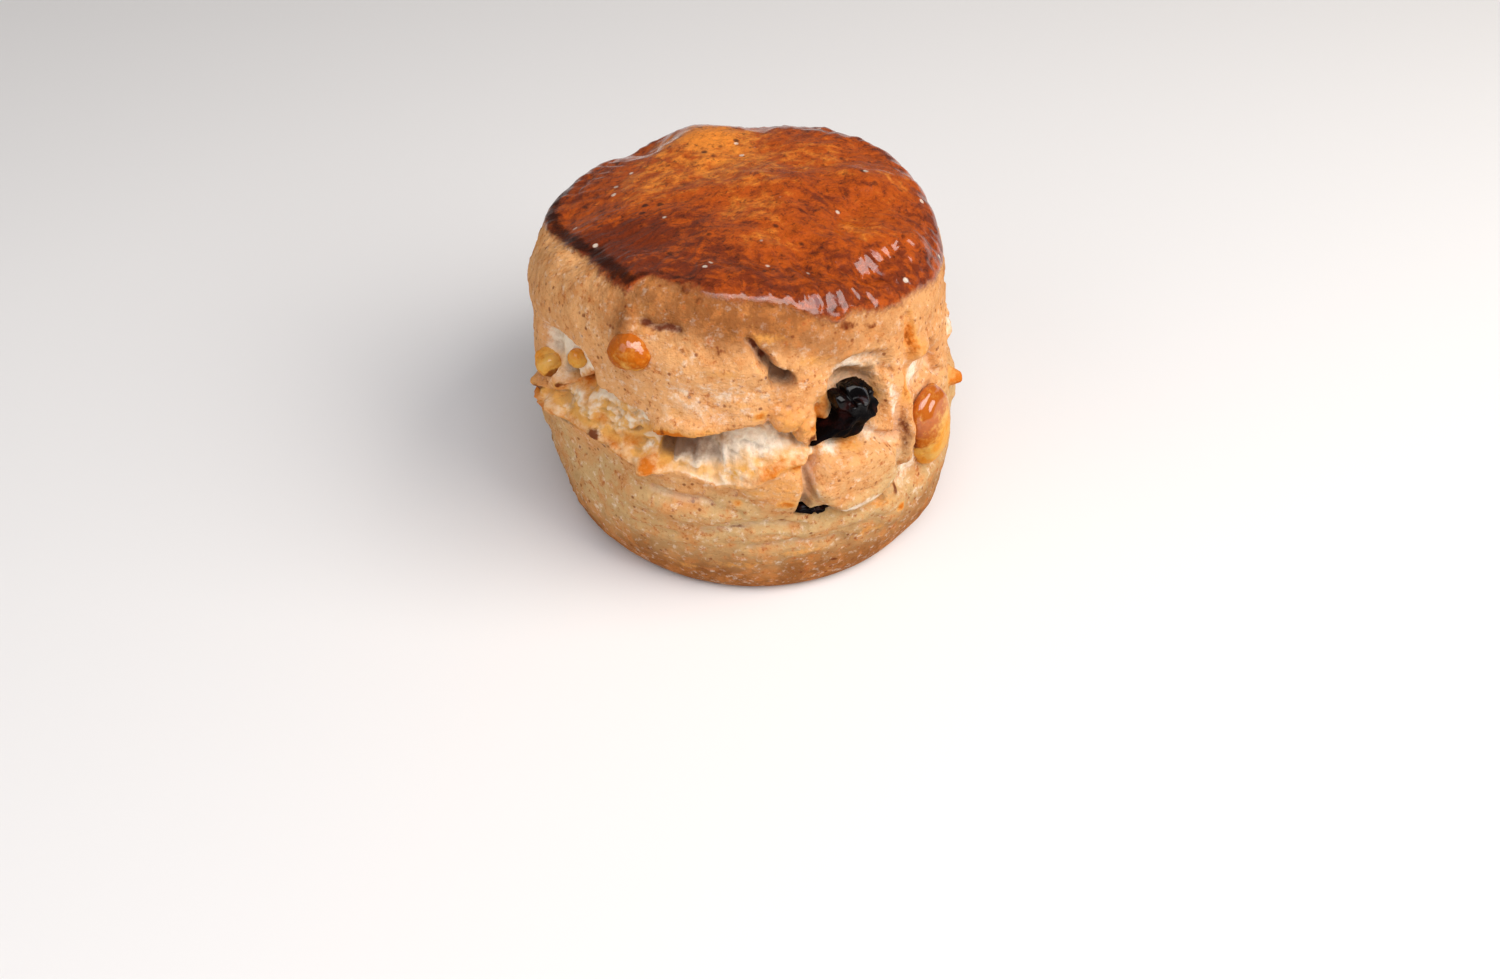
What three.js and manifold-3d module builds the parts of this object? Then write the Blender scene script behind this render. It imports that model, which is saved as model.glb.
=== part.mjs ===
// A round fruit-and-nut scone with a glazed top, standing on its flat foot.
// Units are millimetres. +Z is up, -Y is the torn front, the foot lies on z = 0.
// The dough is one closed skin: an outline turned about the upright axis, leaned and tilted a
// little, then pushed in and out along its normal by lumps, tears, hollows, grooves and bumps.
// Places on the skin are given as [degrees round from the front, mm up the outline from the foot].
import * as THREE from 'three'
import { mergeVertices } from 'three/addons/utils/BufferGeometryUtils.js'
import Module from 'manifold-3d'

// ---- driving sizes of the dough
const FOOT_RADIUS = 28.4
const HEEL_RISE = 13.5
const WALL_RADIUS_LOW = 33.6
const WALL_RADIUS_HIGH = 32.3
const WALL_BARREL = 0.5
const RIM_RADIUS = 26.0
const RIM_DROP = 9.6
const RIM_HEIGHT = 51.4
const DOME_RISE = 3.3
const MEAN_RADIUS = 33.0
// the scone rose unevenly: higher in front, a little higher on the right, leaning left
const TILT_FRONT = 0.066
const TILT_RIGHT = 0.029
const LEAN_LEFT = 3.4
const LEAN_POWER = 1.2
// how far the top's rim departs from that tilt, as waves round it
const RIM_WAVES = [[2, 0.0195, -0.028], [3, 0.018, -0.005]]
// how far the plan departs from a circle, as waves round it
const PLAN_WAVES = [[2, 0.012, 0.005], [3, -0.003, 0]]
// resolution of the skin
const COLUMNS = 110
const ROWS = 40
// room between a baked-in piece and the dough round it
const GAP = 0.3
// how far the edges of tears and hollows wander
const RAGGED = 0.8

const ARC = MEAN_RADIUS * Math.PI / 180
const WALL_TOP = RIM_HEIGHT - RIM_DROP

// ---- lower edge of the egg glaze
const GLAZE_EDGE = [
  [-180, 50], [-160, 52], [-135, 48.5], [-112, 52], [-99, 51.5], [-78, 56], [-55, 57],
  [-39, 55], [-28, 53.2], [-23, 55.8], [-13, 55.1], [-3, 54], [10, 53.8], [16, 53.4],
  [22, 51.4], [28, 50.5], [33, 51.8], [40, 51.2], [50, 50.2], [60, 50], [70, 48.7],
  [82, 47.5], [100, 50], [118, 47.5], [140, 52], [160, 49], [180, 50],
]
const GLAZE_THICKNESS = 0.45

// ---- tears: where the risen dough split. Under the upper edge the crumb lies deepest and ramps
// out to the lower edge, which curls up as a toasted lip. The brow is a low swelling above the
// upper edge, and the ragged size is how far that edge wanders.
const TEARS = [
  {
    from: -72, to: -16, ends: 3, brow: 0.1, ragged: 1.6,
    upper: [[-72, 31], [-63, 32.4], [-52, 35.4], [-43, 38.6], [-33, 38.2], [-23, 37.3], [-19, 35.6],
      [-10, 33]],
    lower: [[-72, 27], [-61, 29], [-52, 29.8], [-42, 29.8], [-33, 28.8], [-26, 26.8], [-22, 27.5],
      [-10, 29]],
    depth: [[-72, 0.3], [-55, 1.2], [-43, 2], [-30, 1.5], [-21, 2.6], [-10, 3]],
    lip: [[-72, 0.8], [-60, 2], [-50, 1.4], [-33, 1.8], [-25, 2.4], [-19, 1.2], [-16, 0.3]],
  },
  {
    from: -23, to: 19, ends: 2.5, brow: 0.3, ragged: 0,
    upper: [[-23, 35.8], [-17.3, 35], [-12.3, 35], [-4.7, 35.8], [2.7, 36.5], [7, 36.7],
      [11.7, 35.3], [15.7, 33], [20, 31.5]],
    lower: [[-23, 28], [-21, 27.5], [-14, 26.7], [-6.7, 26.1], [1.7, 28], [9.3, 30], [16, 30.9],
      [20, 31]],
    depth: [[-23, 5], [-19, 8.5], [-13, 8.5], [-7, 7], [-1, 5.2], [6, 3.6], [14, 2.4], [20, 1]],
    lip: [[-23, 0.2], [-15, 0.5], [-6, 0.9], [4, 1.1], [12, 1.6], [19, 1.6]],
  },
  {
    from: 84, to: 158, ends: 4, brow: 0.45, ragged: 0.8,
    upper: [[84, 34], [96, 36], [110, 39], [124, 37], [138, 40], [150, 38], [158, 37]],
    lower: [[84, 31], [98, 30], [112, 31.5], [126, 29], [140, 31], [158, 33]],
    depth: [[84, 0.5], [98, 2.2], [112, 3.2], [126, 3.6], [142, 2.4], [158, 1]],
    lip: [[84, 0.6], [110, 1.6], [126, 1], [142, 1.8], [158, 0.8]],
  },
  {
    from: -152, to: -96, ends: 4, brow: 0.45, ragged: 0.8,
    upper: [[-152, 27], [-140, 29], [-126, 32], [-112, 34], [-96, 33]],
    lower: [[-152, 24], [-138, 23.5], [-124, 25], [-110, 28], [-96, 30]],
    depth: [[-152, 1], [-138, 2.6], [-120, 3], [-104, 1.6], [-96, 0.5]],
    lip: [[-152, 0.8], [-130, 1.6], [-112, 1], [-96, 0.8]],
  },
]

// ---- oval swellings and hollows of the wall:
// [round, up, half width, half height, turn in degrees, push (minus is in), softness of the edge]
const OVALS = [
  [-51.5, 39.5, 7.2, 4.4, -12, -2.6, 0.3], // pocket with the two small nut pieces
  [-54.5, 36.6, 1.6, 1.2, 0, -2.2, 0.5], // deepest hole of that pocket
  [-65, 31, 2.8, 1.7, 0, 1.9, 0.5], // burnt tip under it
  [-24, 28.7, 1.6, 1.3, -30, 0.7, 0.5], // orange tip of the ledge
  [-25, 46.2, 4.6, 3.8, 0, 0.5, 0.7], // dough stretched round the small round nut
  [-26, 49.6, 1.2, 1.5, 0, 0.8, 0.6], // drop of dough above that nut
  [-4, 40.5, 12.5, 6.5, 6, 0.9, 0.35], // smooth panel over the main tear
  [-13, 35.4, 4.5, 1.4, 2, 1, 0.6], // toasted lower edge of the panel
  [-1, 44.5, 8, 2.2, 4, 0.5, 0.6], // swelling above it
  [8.4, 46, 2, 0.9, -46, -1.5, 0.4], // channel from the slit down to the pit
  [11.9, 43.2, 1.8, 1.6, -20, -2.6, 0.25], // smooth pit
  [14.2, 36.2, 3.3, 2.3, -20, 1.2, 0.4], // rough fragment of dough
  [29.3, 36, 5.9, 5.6, 35, -2.7, 0.25], // bed of the front raisin
  [33.6, 41.6, 4.9, 3.6, 6, -1.4, 0.3], // open hollow over it
  [22.6, 38.2, 1.2, 3.6, 12, 0.9, 0.5], // ragged rim left of it
  [28.8, 25.4, 6.7, 5.5, -14, 2, 0.2], // smooth lump under the raisin
  [8, 26.2, 6, 3.4, -14, 1.5, 0.45], // toasted flap of the main tear
  [57, 36.8, 4.6, 3.4, 0, -1.3, 0.35], // stretched pale dough behind the fold
  [58, 25.4, 5.6, 8.8, 0, -1.2, 0.4], // bed of the nut on the right
  [46.5, 19.8, 2.4, 3, 20, -1.1, 0.4], // pale hollow under it
  [46.5, 33, 1.6, 5.5, 6, 0.9, 0.5], // ridge between raisin and nut
  [45.6, 26.6, 2.3, 3.4, 0, 1, 0.5], // swelling left of the nut
  [54, 41.6, 2.2, 1.7, -20, 0.9, 0.5], // small bulge over the pale dough
  [79, 26.2, 1.3, 1.2, 0, 2.2, 0.5], // small nib on the right
  [3, 21.5, 15, 1.5, 3, 0.8, 0.7], // rolls of the lower wall
  [-18, 20.5, 9, 1.6, -5, 0.6, 0.7],
  [24, 17, 9, 1.4, -4, 0.7, 0.7],
  [41, 16, 3, 3.6, 0, 0.9, 0.5],
  [-40, 24.5, 9, 2.6, -6, -0.8, 0.8],
  [118, 43, 6, 3.4, 0, -1.6, 0.35], // the same kinds of form on the sides turned away
  [152, 24, 7, 5, 10, 1.9, 0.2],
  [172, 37, 7.4, 4.4, 14, -2, 0.4],
  [-168, 24, 9, 4.5, -8, 1.4, 0.25],
  [-106, 18.5, 4.6, 3.8, 0, -1.5, 0.4],
  [-92, 43, 7, 4, 8, 0.9, 0.5],
  [-84, 22, 9, 4, 0, 0.8, 0.5],
  [98, 21, 8, 4.5, 5, 1.2, 0.3],
  [128, 17, 6, 2.5, 0, -0.9, 0.5],
]

// ---- grooves: half width, depth and the corners of their course
const GROOVES = [
  { half: 0.8, deep: 1.4, course: [[4.4, 48.6], [6.2, 46.8], [9.2, 44.8]] },
  { half: 0.9, deep: 1.6, course: [[17.4, 32.2], [16.4, 29.4], [15.2, 25.2], [13.6, 21.4]] },
  { half: 0.9, deep: 1.2, course: [[12.8, 20.6], [17, 20.3], [22, 20.8], [28, 19], [36, 18.2]] },
  {
    half: 1.2, deep: 1.3,
    course: [[51.5, 47.5], [50, 43], [48.6, 38.4], [44.8, 34.4], [43.8, 30], [43.2, 24.5], [42.6, 20.5]],
  },
  { half: 1.2, deep: 1.4, course: [[21, 33.6], [25.5, 31], [33, 31.2], [41, 29]] },
  { half: 1, deep: 0.8, course: [[-12, 16.8], [-4, 17.4], [5, 18.2], [13, 17.6]] },
  { half: 0.9, deep: 0.6, course: [[-24, 22.6], [-12, 22.4], [-2, 21]] },
  { half: 1, deep: 1.1, course: [[-38, 28], [-30, 26.8], [-25.5, 26]] },
  { half: 0.8, deep: 0.7, course: [[-22, 50], [-18, 49.4], [-13, 49.4]] },
  { half: 0.9, deep: 0.6, course: [[0, 13.6], [12, 14.4], [24, 13.2]] },
  { half: 1, deep: 1.2, course: [[62, 39], [66, 33], [70, 31]] },
  { half: 1.2, deep: 1.5, course: [[160, 33], [166, 29], [172, 28], [180, 27]] },
  { half: 1.2, deep: 1.5, course: [[-180, 27], [-170, 30], [-160, 30]] },
  { half: 1.1, deep: 1.3, course: [[-112, 47], [-106, 42], [-104, 36]] },
  { half: 1, deep: 1, course: [[84, 43], [92, 40], [99, 41]] },
]

// ---- knolls and dips of the glazed top: [x, y, half width x, half width y, turn, rise]
const CROWN = [
  [-9, 20, 9, 8, 0, 3], // highest knoll, at the back
  [-20, 15, 8, 7, 0, 1.2],
  [-17.5, 19.5, 4, 5, 20, -1.6], // dip beside the knoll
  [4, 19, 10, 7, 0, 1.4],
  [17, 4, 5.5, 4.5, 0, 1.2], // uneven right rim
  [14.5, -3.5, 3.5, 3, 30, -1],
  [19.5, -9, 4.5, 4, 20, 1.4],
  [14, -13, 4.5, 3.6, 30, 0.9],
  [16.5, -17.8, 2.6, 2.2, 20, -1.3],
  [9.8, -23.5, 4.6, 3.4, 10, 1.2],
  [4, -19, 5, 3, 0, -0.7], // front rim
  [-3, -24.5, 6, 3, 0, 0.8],
  [-14, -20, 6, 4, -20, 0.7],
  [-6, -6, 9, 7, 0, -0.9], // slack middle
  [3, 4, 9, 6, 0, 0.6],
]

// ---- pieces baked into the dough. 'at' is the place, 'deep' half the size out of the wall, 'out'
// how far the middle stands off the dough's own surface. The outline as seen from outside runs
// through corners [bearing in degrees from the right, radius in mm], each averaged over 'soft'
// degrees to either side.
const RAISIN_COLOUR = 0x1c1012
const NUT_COLOUR = 0xb9772f
const PIECES = [
  {
    name: 'raisin_front', at: [30, 37], deep: 2.9, out: 1.3, seed: 5, rough: 0.06, soft: 2,
    colour: RAISIN_COLOUR,
    corners: [[9, 3.2], [33, 3.5], [58, 3.6], [83, 3.3], [109, 3.4], [119, 2.3], [127, 3.5],
      [138, 4.2], [149, 3.7], [171, 2.4], [190, 2.3], [202, 2.9], [208, 4.6], [211, 7.4],
      [216, 7.7], [222, 6], [238, 5], [257, 4.8], [299, 4.7], [314, 4.9], [326, 5.8], [338, 4.4]],
  },
  {
    name: 'nut_round', at: [-24.4, 45.9], deep: 2.5, out: 0.1, seed: 21, rough: 0.04, soft: 16,
    colour: NUT_COLOUR,
    corners: [[0, 3.2], [45, 2.7], [90, 3.1], [135, 2.9], [180, 3.5], [225, 3.1], [270, 2.5],
      [315, 2.8]],
  },
  {
    name: 'nut_left', at: [-61.5, 36.6], deep: 2.2, out: 0.3, seed: 33, rough: 0.1, soft: 6,
    colour: NUT_COLOUR,
    corners: [[0, 2.1], [45, 2.2], [90, 1.8], [135, 2.3], [180, 2.1], [225, 2.3], [270, 1.9],
      [315, 2.2]],
  },
  {
    name: 'nut_left_inner', at: [-51, 39.3], deep: 1.6, out: 0.3, seed: 38, rough: 0.12, soft: 8,
    colour: NUT_COLOUR,
    corners: [[0, 1.6], [60, 1.7], [120, 1.6], [180, 1.7], [240, 1.5], [300, 1.4]],
  },
  {
    name: 'nut_right', at: [57.7, 25.5], deep: 3.2, out: 0.7, seed: 47, rough: 0.06, soft: 8,
    colour: NUT_COLOUR,
    corners: [[0, 5.7], [40, 5.2], [70, 7.2], [93, 7.5], [120, 7.2], [140, 6.4], [165, 4.9],
      [190, 4.7], [215, 4.2], [240, 5.4], [265, 7.4], [285, 7.9], [305, 8.2], [330, 6.6]],
  },
  {
    name: 'raisin_low', at: [17.2, 20.6], deep: 1.9, out: 0, seed: 52, rough: 0.1, soft: 4,
    colour: RAISIN_COLOUR,
    corners: [[0, 3.3], [30, 1.4], [90, 0.8], [150, 1.4], [180, 3.3], [210, 1.5], [270, 0.8],
      [330, 1.5]],
  },
  {
    name: 'raisin_back', at: [117, 34], deep: 2.8, out: 0.9, seed: 64, rough: 0.1, soft: 3,
    colour: RAISIN_COLOUR,
    corners: [[0, 5], [40, 4.2], [80, 3.4], [130, 4.6], [160, 3.6], [200, 4.9], [240, 3.3],
      [300, 4.1], [330, 5.6]],
  },
  {
    name: 'nut_back', at: [172, 37], deep: 2.9, out: 0.9, seed: 71, rough: 0.08, soft: 12,
    colour: NUT_COLOUR,
    corners: [[0, 5], [40, 3.6], [85, 2.6], [135, 3], [180, 4.6], [220, 3.4], [265, 2.4], [315, 2.9]],
  },
  {
    name: 'nut_side', at: [-106, 18.5], deep: 2.4, out: 0.6, seed: 83, rough: 0.1, soft: 12,
    colour: NUT_COLOUR,
    corners: [[0, 3.2], [50, 2.2], [110, 2.6], [170, 3.6], [220, 2.4], [290, 2.3]],
  },
]
// corners further apart than this get a column of points between them
const WIDE_GAP = 32
const PIECE_ROWS = 8
// the bed of a piece is also widened round the outline by this many degrees
const BED_TURN = 4

// ---- small helpers
const clamp = (t, low, high) => Math.min(high, Math.max(low, t))

const smooth = (t) => {
  const c = clamp(t, 0, 1)
  return c * c * (3 - 2 * c)
}

const radians = (degrees) => degrees * Math.PI / 180

const wrap = (degrees) => ((degrees + 180) % 360 + 360) % 360 - 180

// straight lines through the knots, held level beyond the ends
function through(x, knots) {
  if (x <= knots[0][0]) return knots[0][1]
  for (let i = 1; i < knots.length; i += 1) {
    const [x1, y1] = knots[i]
    const [x0, y0] = knots[i - 1]
    if (x <= x1) return y0 + (y1 - y0) * (x - x0) / (x1 - x0)
  }
  return knots[knots.length - 1][1]
}

// a fixed value between -1 and 1 for every corner of a cubic lattice
function lattice(ix, iy, iz, seed) {
  let h = Math.imul(ix, 374761393) + Math.imul(iy, 668265263)
  h = h + Math.imul(iz, 1442695041) + Math.imul(seed, 974634777)
  h = h | 0
  h = Math.imul(h ^ (h >>> 13), 1274126177)
  h = h ^ (h >>> 16)
  return (h >>> 0) / 2147483648 - 1
}

const ease = (t) => t * t * t * (t * (t * 6 - 15) + 10)

// the lattice values blended smoothly in between
function noise(x, y, z, seed) {
  const fx = Math.floor(x)
  const fy = Math.floor(y)
  const fz = Math.floor(z)
  const tx = ease(x - fx)
  const ty = ease(y - fy)
  const tz = ease(z - fz)
  let sum = 0
  for (const dx of [0, 1]) {
    for (const dy of [0, 1]) {
      for (const dz of [0, 1]) {
        const w = (dx ? tx : 1 - tx) * (dy ? ty : 1 - ty) * (dz ? tz : 1 - tz)
        sum += w * lattice(fx + dx, fy + dy, fz + dz, seed)
      }
    }
  }
  return sum
}

// several sizes of lumps added up, each half the size of the last
function lumps(p, size, octaves, seed, keep = 0.5) {
  let sum = 0
  let share = 1
  let total = 0
  for (let k = 0; k < octaves; k += 1) {
    const f = 2 ** k / size
    sum += share * noise(p.x * f + 7.3 * k, p.y * f - 3.1 * k, p.z * f + 1.7 * k, seed + k)
    total += share
    share *= keep
  }
  return sum / total
}

// ---- the outline from the middle of the foot to the middle of the top
function makeOutline() {
  const steps = 40
  const points = []
  const add = (r, z) => points.push({ r, z })
  for (let i = 0; i < steps; i += 1) {
    add(FOOT_RADIUS * i / (steps - 1), 0)
  }
  for (let i = 1; i < steps; i += 1) {
    const q = (Math.PI / 2) * i / (steps - 1)
    add(FOOT_RADIUS + (WALL_RADIUS_LOW - FOOT_RADIUS) * Math.sin(q), HEEL_RISE * (1 - Math.cos(q)))
  }
  for (let i = 1; i < steps; i += 1) {
    const t = i / (steps - 1)
    const r = WALL_RADIUS_LOW + (WALL_RADIUS_HIGH - WALL_RADIUS_LOW) * t
    add(r + WALL_BARREL * Math.sin(Math.PI * t), HEEL_RISE + (WALL_TOP - HEEL_RISE) * t)
  }
  for (let i = 1; i < steps; i += 1) {
    const q = (Math.PI / 2) * i / (steps - 1)
    add(RIM_RADIUS + (WALL_RADIUS_HIGH - RIM_RADIUS) * Math.cos(q), WALL_TOP + RIM_DROP * Math.sin(q))
  }
  for (let i = 1; i < steps; i += 1) {
    const t = i / (steps - 1)
    add(RIM_RADIUS * (1 - t), RIM_HEIGHT + DOME_RISE * (1 - (1 - t) ** 2))
  }
  let length = 0
  points.forEach((p, i) => {
    if (i > 0) length += Math.hypot(p.r - points[i - 1].r, p.z - points[i - 1].z)
    p.s = length
  })
  return points
}

const OUTLINE = makeOutline()
const LENGTH = OUTLINE[OUTLINE.length - 1].s
const OUTLINE_R = OUTLINE.map((p) => [p.s, p.r])
const OUTLINE_Z = OUTLINE.map((p) => [p.s, p.z])

const waves = (list, a) => list.reduce(
  (sum, [n, c, s]) => sum + c * Math.cos(n * a) + s * Math.sin(n * a), 0)

// the leaning, tilted drum without relief, at a bearing in degrees and a length along the outline
function plain(azimuth, s) {
  const a = radians(azimuth)
  const r = through(s, OUTLINE_R)
  const plan = r * (1 + waves(PLAN_WAVES, a))
  const x = plan * Math.sin(a)
  const y = -plan * Math.cos(a)
  const edge = clamp(r / RIM_RADIUS, 0, 1) ** 2
  const lift = 1 - TILT_FRONT * y / MEAN_RADIUS + TILT_RIGHT * x / MEAN_RADIUS + edge * waves(RIM_WAVES, a)
  const z = through(s, OUTLINE_Z) * lift
  return { x: x - LEAN_LEFT * Math.max(z / RIM_HEIGHT, 0) ** LEAN_POWER, y, z, r }
}

// weight of an oval: 1 inside, 0 outside, easing over its softness
function oval(u, v, half, tall, turn, soft) {
  const c = Math.cos(radians(turn))
  const s = Math.sin(radians(turn))
  const q = Math.hypot((u * c + v * s) / half, (v * c - u * s) / tall)
  return smooth((1 + soft - q) / (2 * soft))
}

const bell = (t) => Math.exp(-t * t)

function tearPush(tear, azimuth, up, tatter) {
  const upper = through(azimuth, tear.upper) + tear.ragged * tatter
  const lower = through(azimuth, tear.lower)
  const ends = smooth((azimuth - tear.from) / tear.ends) * smooth((tear.to - azimuth) / tear.ends)
  const share = clamp((up - lower) / Math.max(upper - lower, 0.5), 0, 1)
  const inside = smooth((up - lower) + 0.5) * smooth((upper - up) / 0.8 + 0.2)
  const hollow = inside * through(azimuth, tear.depth) * (0.1 + 0.9 * share ** 1.5)
  const lip = bell((up - lower) / (up > lower ? 2.1 : 0.9)) * through(azimuth, tear.lip)
  const brow = bell((up - upper - 1) / 1.1) * tear.brow
  return ends * (lip + brow - hollow)
}

function groovePush(groove, azimuth, up) {
  let nearest = 9
  for (let i = 1; i < groove.course.length; i += 1) {
    const [a0, u0] = groove.course[i - 1]
    const [a1, u1] = groove.course[i]
    const ex = (a1 - a0) * ARC
    const ey = u1 - u0
    const dx = wrap(azimuth - a0) * ARC
    const dy = up - u0
    const k = clamp((dx * ex + dy * ey) / (ex * ex + ey * ey), 0, 1)
    nearest = Math.min(nearest, Math.hypot(dx - k * ex, dy - k * ey))
  }
  return -groove.deep * smooth(1.3 - nearest / groove.half)
}

function crownPush(x, y) {
  let sum = 0
  for (const [cx, cy, hx, hy, turn, rise] of CROWN) {
    const c = Math.cos(radians(turn))
    const s = Math.sin(radians(turn))
    const dx = x - cx
    const dy = y - cy
    sum += rise * Math.exp(-(((dx * c + dy * s) / hx) ** 2) - ((dy * c - dx * s) / hy) ** 2)
  }
  return sum
}

// push along the normal. The edges of tears and hollows are made ragged by looking them up at
// places shifted a little by small lumps.
function relief(azimuth, up, p) {
  const raggedRound = RAGGED * lumps(p, 4.6, 3, 11, 0.6)
  const raggedUp = RAGGED * lumps(p, 4.6, 3, 29, 0.6)
  const a = azimuth + raggedRound / ARC
  const u = up + raggedUp
  const skin = smooth((up - 1) / 7)
  let push = skin * (0.85 * lumps(p, 15, 2, 3) + 0.3 * lumps(p, 5, 2, 7))
  const tatter = lumps(p, 6, 3, 101, 0.6)
  for (const tear of TEARS) {
    push += tearPush(tear, a, u, tatter)
  }
  for (const [round, high, half, tall, turn, out, soft] of OVALS) {
    push += out * oval(wrap(a - round) * ARC, u - high, half, tall, turn, soft)
  }
  for (const groove of GROOVES) {
    push += groovePush(groove, a, u)
  }
  const over = up + raggedUp * 1.2 - through(azimuth + raggedRound / ARC, GLAZE_EDGE)
  push += GLAZE_THICKNESS * smooth(over / 1.6 + 0.5) * Math.exp(-Math.max(over, 0) / 6)
  const top = smooth((up - 48) / 8)
  push += top * (crownPush(p.x, p.y) + 0.35 * lumps(p, 6, 2, 41))
  return push
}

// a place on the finished skin with its outward direction
function skinAt(azimuth, s) {
  const reach = 0.25
  const before = clamp(s - reach, 0, LENGTH)
  const after = clamp(s + reach, 0, LENGTH)
  const dr = through(after, OUTLINE_R) - through(before, OUTLINE_R)
  const dz = plain(azimuth, after).z - plain(azimuth, before).z
  const size = Math.max(Math.hypot(dr, dz), 1e-6)
  const a = radians(azimuth)
  const outward = new THREE.Vector3(Math.sin(a) * dz / size, -Math.cos(a) * dz / size, -dr / size)
  const p = plain(azimuth, s)
  const push = relief(azimuth, s - FOOT_RADIUS, p)
  const place = new THREE.Vector3(p.x, p.y, p.z).addScaledVector(outward, push)
  return { place, outward }
}

// ---- closed skins from rings of points: the first and last ring are single points
function ringSkin(rings, start, finish) {
  const points = [start]
  for (const ring of rings) {
    points.push(...ring)
  }
  points.push(finish)
  const n = rings[0].length
  const last = points.length - 1
  const at = (row, column) => 1 + row * n + (column % n)
  const faces = []
  for (let c = 0; c < n; c += 1) {
    faces.push(0, at(0, c + 1), at(0, c))
    for (let r = 0; r + 1 < rings.length; r += 1) {
      faces.push(at(r, c), at(r, c + 1), at(r + 1, c + 1))
      faces.push(at(r, c), at(r + 1, c + 1), at(r + 1, c))
    }
    faces.push(last, at(rings.length - 1, c), at(rings.length - 1, c + 1))
  }
  const geometry = new THREE.BufferGeometry()
  const flat = points.flatMap((p) => [p.x, p.y, p.z])
  geometry.setAttribute('position', new THREE.Float32BufferAttribute(flat, 3))
  geometry.setIndex(faces)
  return geometry
}

function doughSkin() {
  const rings = []
  for (let row = 0; row < ROWS; row += 1) {
    const s = FOOT_RADIUS + (LENGTH - FOOT_RADIUS) * row / ROWS
    const ring = []
    for (let column = 0; column < COLUMNS; column += 1) {
      ring.push(skinAt(-180 + 360 * column / COLUMNS, s).place)
    }
    rings.push(ring)
  }
  const middle = new THREE.Vector3(0, 0, 0)
  return ringSkin(rings, middle, skinAt(0, LENGTH).place)
}

// radius of a piece's outline at a bearing, between its corners
function outlineRadius(degrees, corners) {
  const turned = ((degrees % 360) + 360) % 360
  const [firstAt, first] = corners[0]
  const [lastAt, last] = corners[corners.length - 1]
  return through(turned, [[lastAt - 360, last], ...corners, [firstAt + 360, first]])
}

function softRadius(degrees, piece) {
  const beside = outlineRadius(degrees - piece.soft, piece.corners)
    + outlineRadius(degrees + piece.soft, piece.corners)
  return 0.25 * beside + 0.5 * outlineRadius(degrees, piece.corners)
}

// one column of points at each corner, and one more in the middle of a wide gap
function pieceBearings(corners) {
  const list = []
  corners.forEach(([bearing], i) => {
    const after = i + 1 < corners.length ? corners[i + 1][0] : corners[0][0] + 360
    list.push(bearing)
    if (after - bearing > WIDE_GAP) list.push((bearing + after) / 2)
  })
  return list
}

// a lumpy piece pressed into the wall; 'grow' makes the same shape larger for its bed
function pieceSkin(piece, grow) {
  const [azimuth, up] = piece.at
  const { place, outward } = skinAt(azimuth, FOOT_RADIUS + up)
  const a = radians(azimuth)
  const along = new THREE.Vector3(Math.cos(a), Math.sin(a), 0)
  const rise = new THREE.Vector3().crossVectors(outward, along).normalize()
  along.crossVectors(rise, outward).normalize()
  const middle = place.clone().addScaledVector(outward, piece.out)
  const turn = grow > 0 ? BED_TURN : 0
  const point = (polar, bearing) => {
    const q = radians(bearing)
    const d = new THREE.Vector3(
      Math.sin(polar) * Math.cos(q), Math.sin(polar) * Math.sin(q), Math.cos(polar))
    const size = 1 + piece.rough * lumps(d, 0.9, 2, piece.seed)
    const radius = Math.max(
      softRadius(bearing - turn, piece), softRadius(bearing, piece), softRadius(bearing + turn, piece))
    return middle.clone()
      .addScaledVector(along, d.x * (radius * size + grow))
      .addScaledVector(rise, d.y * (radius * size + grow))
      .addScaledVector(outward, d.z * (piece.deep * size + grow))
  }
  const columns = pieceBearings(piece.corners)
  const rings = []
  for (let row = 1; row < PIECE_ROWS; row += 1) {
    const polar = Math.PI * (1 - row / PIECE_ROWS)
    rings.push(columns.map((bearing) => point(polar, bearing)))
  }
  return ringSkin(rings, point(Math.PI, 0), point(0, 0))
}

// ---- joining and cutting
const wasm = await Module()
wasm.setup()

function toSolid(geometry) {
  const bare = geometry.clone()
  bare.deleteAttribute('normal')
  bare.deleteAttribute('uv')
  const merged = mergeVertices(bare, 1e-5)
  return new wasm.Manifold(new wasm.Mesh({
    numProp: 3,
    vertProperties: new Float32Array(merged.attributes.position.array),
    triVerts: new Uint32Array(merged.index.array),
  }))
}

function toGeometry(solid) {
  const mesh = solid.getMesh()
  const geometry = new THREE.BufferGeometry()
  const flat = []
  for (let i = 0; i < mesh.vertProperties.length; i += mesh.numProp) {
    flat.push(mesh.vertProperties[i], mesh.vertProperties[i + 1], mesh.vertProperties[i + 2])
  }
  geometry.setAttribute('position', new THREE.Float32BufferAttribute(flat, 3))
  geometry.setIndex(Array.from(mesh.triVerts))
  return geometry
}

function addMesh(group, name, geometry, colour, roughness) {
  geometry.computeVertexNormals()
  const material = new THREE.MeshStandardMaterial({ color: colour, roughness, metalness: 0 })
  const mesh = new THREE.Mesh(geometry, material)
  mesh.name = name
  group.add(mesh)
}

// ---- the scone
const group = new THREE.Group()
let dough = toSolid(doughSkin())
for (const piece of PIECES) {
  dough = dough.subtract(toSolid(pieceSkin(piece, GAP)))
}
addMesh(group, 'scone', toGeometry(dough), 0xcf9a5e, 0.75)
for (const piece of PIECES) {
  addMesh(group, piece.name, pieceSkin(piece, 0), piece.colour, 0.35)
}

export default group
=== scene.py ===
# %% [markdown]
# # A fruit-and-nut scone
# This lesson dresses a packed scone: a round of dough with an egg glaze on top, torn sides,
# and raisins and nut pieces baked into it. The imported solids are loaded first. They fix where
# everything is.

import itertools
import math

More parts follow.
